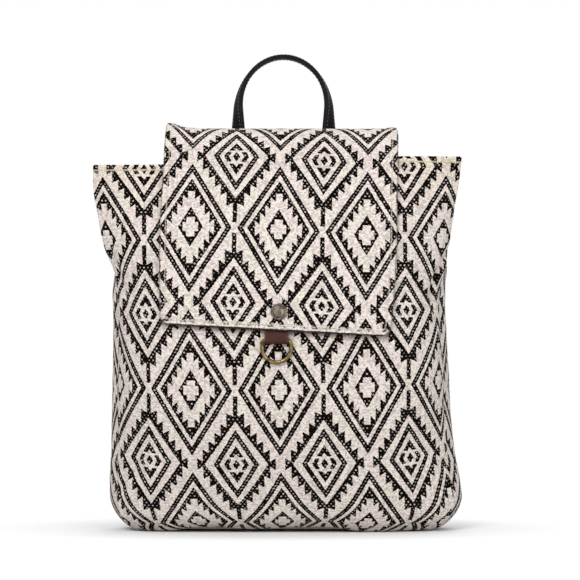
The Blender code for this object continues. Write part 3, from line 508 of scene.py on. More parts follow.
def cloth_piece(name, outer, inner, cloth, material, hem=None):
    """A closed sheet between two grids, with rounded edges. Its outer face has most of the baked picture. The
    hem map holds how far a place is from the sheet's free edge and how far outside the flap, in millimetres."""
    columns, rows = outer.shape[:2]
    index = np.arange(columns * rows).reshape(columns, rows)
    quads = np.stack([index[:-1, :-1], index[1:, :-1], index[1:, 1:], index[:-1, 1:]], axis=-1).reshape(-1, 4)
    rim = np.concatenate([index[:, 0], index[-1, 1:], index[-2::-1, -1], index[0, -2:0:-1]])
    count = columns * rows
    flat_out, flat_in = outer.reshape(-1, 3), inner.reshape(-1, 3)
    inside = np.concatenate([index[:, 1], index[-2, 1:], index[-2::-1, -2], index[1, -2:0:-1]])
    outward = flat_out[rim] - flat_out[inside]
    outward /= np.maximum(np.linalg.norm(outward, axis=1, keepdims=True), 1e-9)
    thick = np.linalg.norm(flat_out[rim] - flat_in[rim], axis=1, keepdims=True)
    rings = []
    for turn in (0.25, 0.5, 0.75):
        middle = flat_out[rim] * (1 - turn) + flat_in[rim] * turn
        rings.append(middle + outward * thick * 0.5 * math.sin(turn * math.pi))
    points = np.concatenate([flat_out, flat_in, *rings])
    size = len(rim)
    loops = [rim] + [2 * count + k * size + np.arange(size) for k in range(3)] + [rim + count]
    strips = []
    for one, two in zip(loops, loops[1:]):
        strips.append(np.stack([one, two, np.roll(two, -1), np.roll(one, -1)], axis=-1))
    edge = np.concatenate(strips)
    faces = np.concatenate([quads, quads[:, ::-1] + count, edge])
    lattice = cloth.reshape(-1, 2)
    lattice = np.concatenate([lattice, lattice, *[lattice[rim]] * 3])
    spread = np.stack(np.meshgrid(np.linspace(0, 1, columns), np.linspace(0, 1, rows), indexing="ij"), axis=-1)
    face_uv = spread.reshape(-1, 2) * (0.992, 0.900) + (0.004, 0.004)
    back_uv = spread.reshape(-1, 2) * (0.992, 0.050) + (0.004, 0.912)
    way = np.linspace(0, 1, size)
    corner_uv = np.concatenate([face_uv[quads.ravel()], back_uv[quads[:, ::-1].ravel()]])
    edge_uv = []
    for k in range(4):
        ahead = np.minimum(way + 1 / size, 1)
        low, high = 0.966 + k * 0.0075, 0.9725 + k * 0.0075
        one = np.stack([way, np.full(size, low)], axis=-1)
        two = np.stack([way, np.full(size, high)], axis=-1)
        three = np.stack([ahead, np.full(size, high)], axis=-1)
        four = np.stack([ahead, np.full(size, low)], axis=-1)
        strip = np.stack([one, two, three, four], axis=1).reshape(-1, 2)
        edge_uv.append(strip * (0.992, 1) + (0.004, 0))
    corner_uv = np.concatenate([corner_uv, *edge_uv])
    maps = {"OFBake": corner_uv, "cloth": lattice[faces.ravel()]}
    if hem is not None:
        flat_hem = hem.reshape(-1, 2)
        turned = flat_hem * (0, 1)
        flat_hem = np.concatenate([flat_hem, turned, *[turned[rim]] * 3])
        maps["hem"] = flat_hem[faces.ravel()]
    made = add_mesh(name, points, faces.tolist(), maps, material)
    face_outward(made)
    return made


def on_grid(grid, normals, column, row, lift=0.0):
    """Places on a grid of points, between its entries, raised along its normals."""
    column, row = np.broadcast_arrays(np.asarray(column, float), np.asarray(row, float))
    place = np.stack([look_up(grid[..., k], column, row) for k in range(3)], axis=-1)
    normal = np.stack([look_up(normals[..., k], column, row) for k in range(3)], axis=-1)
    normal /= np.linalg.norm(normal, axis=-1, keepdims=True)
    return place + normal * lift, normal


def resample(points, spacing, extras=()):
    """Points at even steps along a line, with what goes with them."""
    steps = np.linalg.norm(np.diff(points, axis=0), axis=1)
    way = np.concatenate([[0], np.cumsum(steps)])
    count = max(2, int(round(way[-1] / spacing)) + 1)
    places = np.linspace(0, way[-1], count)
    lines = [points, *extras]
    return [np.stack([np.interp(places, way, line[:, k]) for k in range(3)], axis=-1) for line in lines]


def stitches(name, lines, material, pitch=0.0032, length=0.0024, thread=0.00042):
    """Rows of stitches: each is a short bead of thread that dips into the cloth at both ends."""
    sides = 6
    profile = [0.35, 0.9, 1.0, 0.9, 0.35]
    rise = [-0.55, 0.15, 0.35, 0.15, -0.55]
    rings = len(profile)
    points, faces = [], []
    for line, normal in lines:
        start, up = resample(line, pitch, (normal,))
        for a, b, n in zip(start, start[1:], up):
            way = (b - a) / np.linalg.norm(b - a)
            n = n - way * np.dot(n, way)
            n /= np.linalg.norm(n)
            cross = np.cross(way, n)
            base = len(points)
            for k in range(rings):
                centre = a + way * length * k / (rings - 1) + n * thread * rise[k]
                for s in range(sides):
                    angle = 2 * math.pi * s / sides
                    spoke = math.cos(angle) * cross + math.sin(angle) * n
                    points.append(centre + spoke * thread * profile[k])
            faces += tube_faces(rings, sides, base)
    made = add_mesh(name, points, faces, {}, material)
    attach(made, "bag")


class Socket:
    """A value that varies over a surface. Operators on it add Math nodes."""

    def __init__(self, finish, socket):
        self.finish = finish
        self.socket = socket

    def math(self, operation, *others):
        settings = {"operation": operation}
        return self.finish.node("ShaderNodeMath", settings, dict(enumerate((self, *others))))

    def __add__(self, other):
        return self.math("ADD", other)

    def __sub__(self, other):
        return self.math("SUBTRACT", other)

    def __mul__(self, other):
        return self.math("MULTIPLY", other)

    def __truediv__(self, other):
        return self.math("DIVIDE", other)

    def __rsub__(self, other):
        return self.finish.node("ShaderNodeMath", {"operation": "SUBTRACT"}, {0: other, 1: self})

    __radd__ = __add__

    def __lt__(self, other):
        return self.math("LESS_THAN", other)

    def __gt__(self, other):
        return self.math("GREATER_THAN", other)

    def __and__(self, other):
        return self.math("MULTIPLY", other)

    def __or__(self, other):
        return self.math("MAXIMUM", other)


def clamped(value):
    """The value, kept between 0 and 1."""
    return value.math("MAXIMUM", 0.0).math("MINIMUM", 1.0)


class Finish:
    """The node material of one kind of surface."""

    def __init__(self, name, roughness, metallic=0.0, sheen=0.0, specular=0.5):
        self.material = bpy.data.materials.new(name)
        self.material.use_nodes = True
        self.tree = self.material.node_tree
        self.shader = self.tree.nodes["Principled BSDF"]
        self.shader.inputs["Roughness"].default_value = roughness
        self.shader.inputs["Metallic"].default_value = metallic
        self.shader.inputs["Sheen Weight"].default_value = sheen
        self.shader.inputs["Specular IOR Level"].default_value = specular

    def feed(self, target, value):
        if isinstance(value, Socket):
            self.tree.links.new(value.socket, target)
        else:
            target.default_value = value

    def node(self, kind, settings, values, output=0):
        """Adds a node, sets its settings, then the values or links of its sockets."""
        made = self.tree.nodes.new(kind)
        for name, value in settings.items():
            setattr(made, name, value)
        for key, value in values.items():
            self.feed(made.inputs[key], value)
        return Socket(self, made.outputs[output])

    def split(self, vector):
        made = self.tree.nodes.new("ShaderNodeSeparateXYZ")
        self.feed(made.inputs[0], vector)
        return [Socket(self, out) for out in made.outputs]

    def join(self, x, y, z=0.0):
        return self.node("ShaderNodeCombineXYZ", {}, {0: x, 1: y, 2: z})

    def uv(self, name):
        return self.node("ShaderNodeUVMap", {"uv_map": name}, {})

    def place(self):
        return self.node("ShaderNodeTexCoord", {}, {}, "Object")

    def noise(self, place, scale, detail=2.0, output="Fac"):
        return self.node("ShaderNodeTexNoise", {}, {"Vector": place, "Scale": scale, "Detail": detail}, output)

    def cells(self, place, scale):
        """How far a place is from the border of its cell."""
        settings = {"feature": "DISTANCE_TO_EDGE"}
        return self.node("ShaderNodeTexVoronoi", settings, {"Vector": place, "Scale": scale}, "Distance")

    def chance(self, place):
        return self.node("ShaderNodeTexWhiteNoise", {"noise_dimensions": "2D"}, {"Vector": place}, "Value")

    def mix(self, factor, one, two):
        """Colours, from one at factor 0 to two at factor 1."""
        one = one if isinstance(one, Socket) else (*one, 1.0)
        two = two if isinstance(two, Socket) else (*two, 1.0)
        return self.node("ShaderNodeMix", {"data_type": "RGBA"}, {0: factor, 6: one, 7: two}, 2)

    def colour(self, value):
        self.feed(self.shader.inputs["Base Color"], value)

    def roughness(self, value):
        self.feed(self.shader.inputs["Roughness"], value)

    def bump(self, height, strength, distance):
        values = {"Strength": strength, "Distance": distance, "Height": height}
        self.feed(self.shader.inputs["Normal"], self.node("ShaderNodeBump", {}, values))


def stepped_diamonds(across, down, margin, lined=True):
    """1 where the print is black, in two kinds of diamond that stand in turn; margin draws its edges in. And how
    far a place is from the middle of the diamonds' plain lines."""
    m = margin
    x = across.math("PINGPONG", PITCH_ACROSS / 2)
    y = down.math("PINGPONG", PITCH_DOWN / 2)

    # The toothed diamond: its teeth point up above the middle and down below it
    above = y - (43.3 - x * 1.36)
    tooth = ((x - 2.55) / 6.15).math("FRACT")
    teeth = (above > 1.4 * m) & (above < tooth * (12.7 - x * 0.03) + (4.5 - 1.8 * m))
    teeth = teeth & (x > 8.7) & (x < 33.3 - 0.7 * m)
    crown = (above > 1.4 * m) & (y < x * 0.47 + (46.4 - m)) & (x < 8.7 - 0.7 * m)
    stem = (x < 2.0 - 0.7 * m) & (y > 46.0) & (y < 66.8 - m)
    bow = (x > 31.4 + m) & (x < 38.9 - 0.7 * m) & (y < (x - 31.6) * 0.66 + (0.9 - m))
    ring = x + y / 1.55
    roof = (y > 7.7 + m) & (x + y * 0.677 < 12.3 - m) & (x + y * 0.78 > 8.6 + m) & (x < 6.5 - m)
    bracket = (y < 5.3 - 0.6 * m) & (x + y * 0.60 < 12.1 - m) & (x + y * 0.58 > 7.9 + m) & (x > 5.6 + m)
    pip = x + y * 0.72 < 3.4 - m
    toothed = teeth | crown | stem | bow | roof | bracket | pip
    ring_away = (ring - 19.9).math("ABSOLUTE")

    # The stepped diamond: a dark line, and inside it a dark field whose inner edge is stepped
    u = PITCH_ACROSS / 2 - x
    v = PITCH_DOWN / 2 - y
    reach = u + v / 1.57
    border_away = (reach - 38.2).math("ABSOLUTE")
    deep = (30.8 - reach) * 1.57
    step = ((u - 3.3) / 5.1).math("FRACT")
    steps = (deep < 14.9 - 1.6 * m - step * 12.2) & (u > 3.3)
    field = (deep > 1.5 * m) & (steps | (u > 23.7 + m) | ((v > 36.2 + m) & (u < 3.3)))
    core = (u + v / 1.62 < 12.1 - m) & (1 - ((u < 4.4 + m) & (v < 10 + m) | (u < 7.9 + m) & (v < 4.8 + m)))
    stepped = field | core
    inside = reach < 40.8 - m
    if lined:
        toothed = toothed | (ring_away < 2.45 - m)
        stepped = stepped | (border_away < 2.5 - m)
    away = ring_away * (1 - inside) + border_away * inside
    return toothed * (1 - inside) + stepped * inside, away


def make_canvas():
    """Slubby cream canvas with its black print, whose dark places show specks of the cream weft."""
    f = Finish("printed_canvas", 0.9, specular=0.04)
    across, down, _ = f.split(f.uv("cloth"))
    hem, clear, _ = f.split(f.uv("hem"))
    lattice = f.join(across, down)
    on_flap = clear < ON_FLAP / 2
    row, post = 2.9, 4.3
    half_row = row / 2

    # Each thread group shifts the print a little, so that its edges are beaded
    shake_x, shake_y, _ = f.split(f.noise(lattice, 0.32, 2.0, "Color"))
    level = down / row
    floor = level.math("FLOOR")
    bead = (level.math("FRACT") > 0.5) * 0.5 + f.chance(f.join((down / half_row).math("FLOOR"), 3.0)) * 0.5
    u = across + (shake_x - 0.5) * 1.2 + (bead - 0.5) * 0.75
    v = down + (shake_y - 0.5) * 1.2
    black, away = stepped_diamonds(u, v, -0.30)
    deep_black, _ = stepped_diamonds(u, v, 0.8, lined=False)

    # Specks of the cream weft: one in each row along a line, and staggered in the wider fields
    away_v = (level.math("FRACT") - 0.5) * row
    spot = across / post + floor.math("PINGPONG", 1.0) * 0.5
    away_u = (spot.math("FRACT") - 0.5) * post
    luck = f.chance(f.join(spot.math("FLOOR"), floor))
    tall = away_v * away_v * 1.3
    size = luck * 0.70 + 0.28
    in_field = (away_u * away_u + tall < size) & deep_black
    in_line = away * away * 1.1 + tall < size
    speck = (in_field | in_line) & (luck > 0.06) & black

    slub = f.noise(f.join(across * 0.10, down * 1.1), 1.0, 3.0)
    warp = f.noise(f.join(across * 0.9, down * 0.30), 1.0, 2.0)
    blotch = f.noise(lattice, 0.030, 3.0)
    tint = f.noise(f.join(across + 300, down), 0.045, 2.0)
    grain = f.noise(lattice, 0.42, 2.0)
    knot = f.chance(f.join((across / 1.8).math("FLOOR"), (down / half_row).math("FLOOR")))
    light = f.mix(clamped((tint - 0.35) * 3.0), (0.962, 0.830, 0.788), (0.925, 0.875, 0.750))
    warm = clamped(1 - hem / 55) * (1 - on_flap)
    light = f.mix(warm * 0.55, light, f.mix(tint, (0.95, 0.76, 0.60), (0.92, 0.85, 0.60)))
    shade = (slub - 0.5) * 0.6 + (warp - 0.5) * 0.4 + (grain - 0.5) * 0.6
    shade = shade + (knot - 0.5) * 1.5 - (blotch - 0.5) * 0.35
    cream = f.mix(clamped(shade + 0.36), light, (0.600, 0.520, 0.485))
    ink = f.mix(grain, (0.0024, 0.0012, 0.0008), (0.0078, 0.0046, 0.0034))
    thread = f.mix(luck, (0.16, 0.135, 0.12), (0.66, 0.60, 0.55))
    printed = f.mix(speck, ink, thread)

    # The print is thin where the hem's stitches run, and the cloth is yellower there
    below = clear - ON_FLAP
    stitched = clamped(1 - ((hem - 4.6).math("ABSOLUTE") - 0.5) / 0.7) * (1 - on_flap * 0.7)
    worn_hem = (knot < 0.55) & (below < 6.4) & on_flap
    faded = clamped(stitched * (knot * 0.6 + 0.25) + worn_hem * 0.6 + ((below < 3.2) & on_flap) * 0.85)
    seam_tone = f.mix(stitched * 0.65, cream, (0.80, 0.68, 0.44))
    cloth = f.mix(black * (1 - faded), seam_tone, printed)

    # Painted shade beside and below the flap, where its shadow falls on the front; a painted shadow line along the
    # flap's lower edge; and painted shade along the flap's side edges and over its rounded edge
    close = clamped(1 - clear / 6.5) * (1 - on_flap)
    # Painted shadow: a near-black line along the flap's lower edge, where the flap stands off the front
    painted_edge_shadow = (below < 1.35 + (slub - 0.5) * 1.8) & on_flap
    # Painted shade: a dim brown line along the flap's side edges and over its rounded edge
    painted_side_shade = (hem < 0.3) & on_flap
    cloth = f.mix(close * close * 0.62, cloth, (0.055, 0.035, 0.028))
    cloth = f.mix(painted_side_shade * 0.45, cloth, (0.130, 0.095, 0.080))
    f.colour(f.mix(painted_edge_shadow * 0.95, cloth, (0.008, 0.005, 0.004)))

    rib = (down * (2 * math.pi / row)).math("SINE") * 0.5
    weave = (across * (2 * math.pi / 2.15)).math("SINE") * 0.3
    height = rib + weave + (slub - 0.5) * 1.6 + (knot - 0.5) * 0.7 + speck * 0.5 - black * 0.25
    f.bump(height, 0.5, 0.00035)
    return f.material


def make_twill():
    """Plain light brown twill, with its diagonal ribs."""
    f = Finish("lining_twill", 0.88, sheen=0.1, specular=0.2)
    across, down, _ = f.split(f.uv("cloth"))
    wales = ((across + down) * (2 * math.pi / 1.35)).math("SINE") * 0.5 + 0.5
    speckle = f.noise(f.join(across, down), 1.4, 2.0)
    blotch = f.noise(f.join(across, down), 0.06, 2.0)
    base = f.mix(blotch, (0.36, 0.30, 0.235), (0.45, 0.38, 0.30))
    f.colour(f.mix(wales * 0.35 + (speckle - 0.5) * 0.5, base, (0.22, 0.18, 0.14)))
    f.bump(wales + (speckle - 0.5) * 0.6, 0.5, 0.00025)
    return f.material


def make_leather(name, dark, light, worn, grain_size):
    """Grained leather, a little paler where it has rubbed and along its cut edges."""
    f = Finish(name, 0.45, specular=0.10)
    place = f.place()
    _, across, _ = f.split(f.uv("cloth"))
    pores = f.cells(place, grain_size)
    fine = f.noise(place, grain_size * 2.2, 3.0)
    cloud = f.noise(place, 70.0, 3.0)
    rubbed = f.noise(place, 320.0, 4.0)
    edge = (across.math("ABSOLUTE") > 0.86) * 0.55
    base = f.mix(cloud, dark, light)
    f.colour(f.mix(((rubbed - 0.58) * 1.6).math("MAXIMUM", 0.0) + edge * rubbed, base, worn))
    f.roughness(0.36 + cloud * 0.12 + fine * 0.14)
    f.bump(pores * 1.6 + fine * 0.5, 0.5, 0.00030)
    return f.material


def make_metal(name, dark, bright, roughness, turned=0.0):
    """Antique metal: a dark patina in its low places, brighter where it is rubbed."""
    f = Finish(name, roughness, 1.0)
    place = f.place()
    cloud = f.noise(place, 260.0, 4.0)
    pits = f.noise(place, 1500.0, 3.0)
    worn = clamped((cloud - 0.36) * 2.4)
    f.colour(f.mix(worn, dark, bright))
    f.roughness(roughness + (1 - worn) * 0.16 + (pits - 0.5) * 0.12)
    f.bump(pits + cloud * 0.5, 0.16 + turned, 0.00012)
    return f.material


def make_webbing():
    """Black cotton webbing, woven in ribs across its width."""
    f = Finish("cotton_webbing", 0.85, sheen=0.15, specular=0.2)
    along, across, _ = f.split(f.uv("cloth"))
    ribs = (along * (2 * math.pi / 1.5)).math("SINE") * 0.5 + 0.5
    cords = (across * (2 * math.pi * 11)).math("SINE") * 0.5 + 0.5
    speckle = f.noise(f.place(), 1400.0, 2.0)
    base = f.mix(speckle, (0.022, 0.019, 0.018), (0.060, 0.052, 0.048))
    f.colour(f.mix(ribs * cords * 0.5, base, (0.10, 0.088, 0.080)))
    f.bump(ribs * 0.7 + cords * 0.6 + speckle * 0.3, 0.6, 0.0004)
    return f.material


def make_thread(name, one, two):
    """Twisted thread, between two tones."""
    f = Finish(name, 0.7, sheen=0.1, specular=0.25)
    twist = f.noise(f.place(), 2600.0, 2.0)
    f.colour(f.mix(twist, one, two))
    f.bump(twist, 0.4, 0.0001)
    return f.material


CANVAS_LOOK = make_canvas()
TWILL_LOOK = make_twill()
BLACK_LEATHER = make_leather(
    "black_leather", (0.0022, 0.0014, 0.0016), (0.0062, 0.0041, 0.0044), (0.050, 0.037, 0.036), 900.0
)
TAB_LOOK = make_leather("brown_leather", (0.060, 0.020, 0.016), (0.100, 0.037, 0.029), (0.17, 0.085, 0.065), 1100.0)
BRASS = make_metal("antique_brass", (0.105, 0.074, 0.024), (0.500, 0.380, 0.165), 0.17)
BRONZE = make_metal("antique_bronze", (0.095, 0.076, 0.055), (0.350, 0.300, 0.235), 0.28, 0.1)
STEEL = make_metal("nickel", (0.35, 0.34, 0.32), (0.62, 0.61, 0.59), 0.28)
WEBBING = make_webbing()
CREAM_THREAD = make_thread("cream_thread", (0.64, 0.54, 0.38), (0.86, 0.77, 0.60))
PALE_THREAD = make_thread("pale_thread", (0.60, 0.52, 0.47), (0.90, 0.80, 0.72))
DARK_THREAD = make_thread("dark_thread", (0.090, 0.072, 0.068), (0.290, 0.240, 0.225))


def flap_edge(x):
    """The height of the flap's lower edge."""
    return FLAP_EDGE_HEIGHT + FLAP_EDGE_SLOPE * x


def outside_flap(x, z):
    """How far below or beside the flap a place of the front lies, in millimetres, which places the painted shade
    around the flap.
    """
    fall = np.clip(FLAP_TOP - z, 0, None)
    beside = np.maximum(flap_left(fall) - x, x - flap_right(fall)) * 2.4
    below = flap_edge(x) - z
    return np.maximum(beside, below) * 1000


def build_walls():
    """The front and back panels, and the gussets between them. Returns the inner faces for the lining."""
    shares = even_shares(PANEL_COLUMNS)[:, None]
    heights = HEIGHTS[None, :]
    rows = body_rows(heights) + 0 * shares
    inner = {}
    for name, wall, relief in (("front", front_wall, front_relief), ("back", back_wall, back_relief)):
        smooth = wall.point(shares, heights)
        facing = grid_normals(smooth) * wall.way
        x, z = smooth[..., 0], smooth[..., 2]
        cloth = wall.cloth(shares, heights)
        outer = smooth + facing * relief(x, z, heights + 0 * shares)[..., None]
        if wall is front_wall:
            fade = np.maximum(0, 1 - heights / 0.040) ** 1.6
            outer[..., 2] += BASE_LIFT(x) * fade
            aside = np.clip(np.abs(cloth) / 0.15, 0, 1.2) ** np.where(heights > 0.215, 0.6, 3.0)
            place = print_place(cloth, rows, body_column(heights) + 0 * shares)
            place[..., 1] += aside * np.where(cloth < 0, left_rise(heights), right_rise(heights))
            place[..., 0] += aside * np.where(cloth < 0, 0.0, right_in(heights))
        else:
            place = print_place(-cloth, rows, 0.0)
        within = outer - grid_normals(outer) * wall.way * CANVAS
        within[:, 0] = outer[:, 0] + (0, 0, CANVAS)
        below_rim = (RIM_HEIGHT - heights + 0 * shares) * 1000
        clear = outside_flap(x, z) if wall is front_wall else np.full_like(x, 99.0)
        hem = np.stack([below_rim, clear], axis=-1)
        piece = cloth_piece(name + "_cloth", outer, within, place, CANVAS_LOOK, hem)
        stands_for(piece, name + "_panel")
        wide = float(cloth.max() - cloth.min())
        normals = grid_normals(outer) * wall.way
        row = np.interp(RIM_HEIGHT - HEM_WIDTH, HEIGHTS, np.arange(len(HEIGHTS)))
        line = on_grid(outer, normals, np.linspace(1.5, PANEL_COLUMNS - 1.5, 400), row, 0.00012)
        stitches(name + "_rim_stitches", [line], CREAM_THREAD)
        inner[name] = (outer, within)
    for side, column, name in ((-1, 0, "left_gusset"), (1, -1, "right_gusset")):
        inner[name] = build_gusset(inner, side, column, name)
    return inner


def build_gusset(inner, side, column, name):
    """A gusset folds in between the seams, more toward the rim."""
    step = 1 if column == 0 else -2
    ends = []
    for outer, within in (inner["front"], inner["back"]):
        edge = within[column] - within[step]
        inward = within[column] - outer[column]
        edge = edge / np.linalg.norm(edge, axis=1, keepdims=True) * SEAM_GAP
        inward = inward / np.linalg.norm(inward, axis=1, keepdims=True) * SEAM_GAP
        inward[0] = 0
        ends.append(within[column] + edge + inward)
    share = np.linspace(0, 1, GUSSET_COLUMNS + 1)[:, None]
    fold = gusset_fold(HEIGHTS)[None, :] * (1 - np.abs(2 * share - 1) ** GUSSET_ROUNDNESS)
    grid = ends[0][None] * (1 - share[..., None]) + ends[1][None] * share[..., None]
    grid[..., 0] -= fold * side
    x = grid[..., 1] + 0.02
    wave = soft_noise(x, grid[..., 2], 26, 3.3 + side) * 0.0009 * np.sin(share * np.pi)
    normal = grid_normals(grid) * side
    grid = grid + normal * (wave + hem_relief(RIM_HEIGHT - HEIGHTS)[None, :] * 0.6)[..., None]
    normal = grid_normals(grid) * side
    outer = grid + normal * CANVAS
    outer[:, 0] = grid[:, 0] - (0, 0, CANVAS)
    length = np.linalg.norm(np.diff(outer, axis=0), axis=2)
    across = np.concatenate([np.zeros((1, len(HEIGHTS))), np.cumsum(length, axis=0)])
    across = across - across[-1] / 2
    place = print_place(across * side, body_rows(HEIGHTS) + 0 * share, 0.0)
    hem = np.stack([(RIM_HEIGHT - HEIGHTS) * 1000 + 0 * share, 99.0 + 0 * place[..., 0]], axis=-1)
    piece = cloth_piece(name + "_cloth", outer, grid, place, CANVAS_LOOK, hem)
    stands_for(piece, name)
    return outer, grid


def build_base(inner):
    """The base panel fills the loop that the walls leave at the floor."""
    front = inner["front"][0][:, 0]
    back = inner["back"][0][:, 0]
    depth = np.linspace(0, 1, 25)[None, :, None]
    low = front[:, None] * (1 - depth) + back[:, None] * depth
    gap = SEAM_GAP * 1.2
    low[..., 1] += (1 - 2 * depth[..., 0]) * gap
    bulge = 0.0018 * (1 - np.abs(2 * depth[..., 0] - 1) ** 1.7)
    share = np.linspace(-1, 1, len(front))[:, None]
    low[..., 0] += share**15 * (bulge - gap)
    rise = low[..., 2] * (1 - depth[..., 0]) ** 1.5
    low[..., 2] = rise * (1 - 0.04)
    high = low + (0, 0, CANVAS)
    place = np.stack([low[..., 0] / UNIT, low[..., 1] / UNIT + 12], axis=-1)
    piece = cloth_piece("base_cloth", low, high, place, CANVAS_LOOK, np.full_like(place, 99.0))
    stands_for(piece, "base_panel")


def inset_loop(points, distance):
    """Level loops of points, moved inward."""
    ahead = np.roll(points, -1, axis=0) - points
    behind = points - np.roll(points, 1, axis=0)
    ahead[..., 2] = 0
    behind[..., 2] = 0
    along = ahead / np.linalg.norm(ahead, axis=2, keepdims=True)
    along += behind / np.linalg.norm(behind, axis=2, keepdims=True)
    along /= np.linalg.norm(along, axis=2, keepdims=True)
    inward = np.stack([-along[..., 1], along[..., 0], np.zeros(along.shape[:2])], axis=2)
    return points + inward * distance


def build_lining(inner):
    """A loose inner bag of twill, open at the top, that skips the sharp seam corners."""
    rows = list(range(4, len(HEIGHTS), 3))
    front = inner["front"][1][10:-10:3][:, rows]
    back = inner["back"][1][-12:12:-3][:, rows]
    right = inner["right_gusset"][1][4:-4:2][:, rows]
    left = inner["left_gusset"][1][-4:4:-2][:, rows]
    points = np.concatenate([front, right, back, left])
    points[:, -1, 2] = inner["front"][1][0, -1, 2] - HEM_DROP + (points[:, -1, 0] + BAG_HALF) * 0.012
    around = np.concatenate([[0], np.cumsum(np.linalg.norm(np.diff(points[:, -1], axis=0), axis=1))])
    wave = soft_noise(around[:, None], points[..., 2], 30, 6.1) * 0.0009
    outer = inset_loop(points, LINING_GAP)
    outer = outer + (inset_loop(points, 1.0) - points) * (np.abs(wave) * 0.8)[..., None]
    within = inset_loop(outer, LINING)
    floor = CANVAS + LINING_GAP
    outer[:, 0, 2] = floor
    within[:, 0, 2] = floor + LINING
    count, levels = outer.shape[:2]
    index = np.arange(count * levels).reshape(count, levels)
    nxt = np.roll(index, -1, axis=0)
    quads = np.stack([index[:, :-1], nxt[:, :-1], nxt[:, 1:], index[:, 1:]], axis=-1).reshape(-1, 4)
    size = count * levels
    lip = np.stack([index[:, -1], nxt[:, -1], nxt[:, -1] + size, index[:, -1] + size], axis=-1)
    faces = quads.tolist() + (quads[:, ::-1] + size).tolist() + lip.tolist()
    faces.append(index[::-1, 0].tolist())
    faces.append((index[:, 0] + size).tolist())
    points = np.concatenate([outer.reshape(-1, 3), within.reshape(-1, 3)])
    cloth = np.stack(np.broadcast_arrays(around[:, None] / UNIT, outer[..., 2] / UNIT), axis=-1).reshape(-1, 2)
    cloth = np.concatenate([cloth, cloth])
    corners = np.concatenate([np.ravel(face) for face in faces]).astype(int)
    piece = add_mesh("inner_lining", points, faces, {"cloth": cloth[corners]}, TWILL_LOOK)
    face_outward(piece)
    stands_for(piece, "lining")


def flap_ways():
    """Steps along the flap: 0 to 1 up the back, 1 to 2 over the arch and 2 to 3 down the front."""
    back = np.linspace(0, 1, 13)[:-1]
    arch = 1 + np.linspace(0, 1, 65)
    front = 2 + np.linspace(0, 1, 101)[1:]
    edge = np.array([2.9966, 2.9915, 2.9700, 2.9655, 2.962])
    return np.unique(np.concatenate([back, arch, front, edge]))


WAYS = flap_ways()


def flap_width(way):
    """Where the flap's left and right edges lie, with the round corners of its lower edge."""
    arch, front = FLAP_TOP - FLAP_SPRING, FLAP_SPRING - FLAP_EDGE_HEIGHT
    fall = np.where(way <= 1.5, 0.0, (way - 1.5) * 2 * arch)
    fall = np.where(way > 2, arch + (way - 2) * front, fall)
    length = np.where(way > 2, (3 - way) * front, FLAP_CORNER)
    inset = curve_in(length, FLAP_CORNER, FLAP_CORNER)
    return flap_left(fall) + inset, flap_right(fall) - inset


def corner_rise(x):
    """How much higher than its middle the arched flap stands here, toward either side."""
    edge = np.where(x < 0, -flap_left(0), flap_right(0))
    rise = np.where(x < 0, FLAP_LEFT_CORNER_RISE, FLAP_RIGHT_CORNER_RISE)
    return rise * np.clip((np.abs(x) - edge) / FLAP_CORNER_RISE_RUN + 1, 0, 1) ** 2


def flap_point(x, way, lift):
    """A place of the flap, raised from its lowest layer."""
    x, way = np.broadcast_arrays(np.asarray(x, float), np.asarray(way, float))
    height = FLAP_SEAM + (FLAP_SPRING - FLAP_SEAM) * way
    behind = np.stack([x, back_wall.at(x, height) + FLAP_STAND + lift, height], axis=-1)
    angle = np.pi * np.clip(way - 1, 0, 1)
    rear = back_wall.at(x, FLAP_SPRING) + FLAP_STAND + lift
    fore = front_wall.at(x, FLAP_SPRING) - FLAP_STAND - lift
    spread = np.sign(np.cos(angle)) * np.abs(np.cos(angle)) ** (2 / FLAP_ARCH_POWER)
    rise = np.abs(np.sin(angle)) ** (2 / FLAP_ARCH_POWER)
    top = FLAP_TOP - FLAP_SPRING - FLAP_CANVAS - LINING - SEAM_GAP + lift + corner_rise(x)
    y = (rear + fore) / 2 + (rear - fore) / 2 * spread
    over = np.stack([x, y, FLAP_SPRING + top * rise], axis=-1)
    height = FLAP_SPRING + (flap_edge(x) - FLAP_SPRING) * (way - 2)
    stand = FLAP_STAND + (FLAP_SNAP_STAND - FLAP_STAND) * (way - 2)
    down = np.stack([x, front_wall.at(x, height) - stand - lift, height], axis=-1)
    way = way[..., None]
    return np.where(way < 1, behind, np.where(way <= 2, over, down))


def flap_grid(lift, trim):
    """The whole flap as a grid, trimmed at its sides."""
    share = np.linspace(0, 1, FLAP_COLUMNS + 1)[:, None]
    left, right = flap_width(WAYS)
    x = left + trim + (right - left - 2 * trim) * share
    return flap_point(x, WAYS[None, :] + 0 * share, lift)


def flap_margins(grid):
    """How far each place of the flap is from its sides, and from its lower edge."""
    x, z = grid[..., 0], grid[..., 2]
    left, right = flap_width(WAYS)
    return np.minimum(x - left, right - x), np.where(WAYS > 2, z - flap_edge(x), 1.0)


def flap_relief(grid):
    """Waves of the flap's cloth, and its turned edges."""
    x, z = grid[..., 0], grid[..., 2]
    free = ease(WAYS, 1.25, 2.0)[None, :]
    snapped = 1 - 0.9 * np.exp(-(((x - SNAP_X) / 0.020) ** 2 + ((z - SNAP_HEIGHT) / 0.016) ** 2))
    wave = (soft_noise(x, z + grid[..., 1], 15, 12.5) * 0.0010 + soft_noise(x, z, 40, 2.2) * 0.0003) * free * snapped
    aside, below = flap_margins(grid)
    curl = 0.0007 * np.exp(-((below / 0.006) ** 2)) * np.sin(x * 95)
    return np.maximum(wave, -0.0007) + hem_relief(np.minimum(aside, below)) + curl * snapped


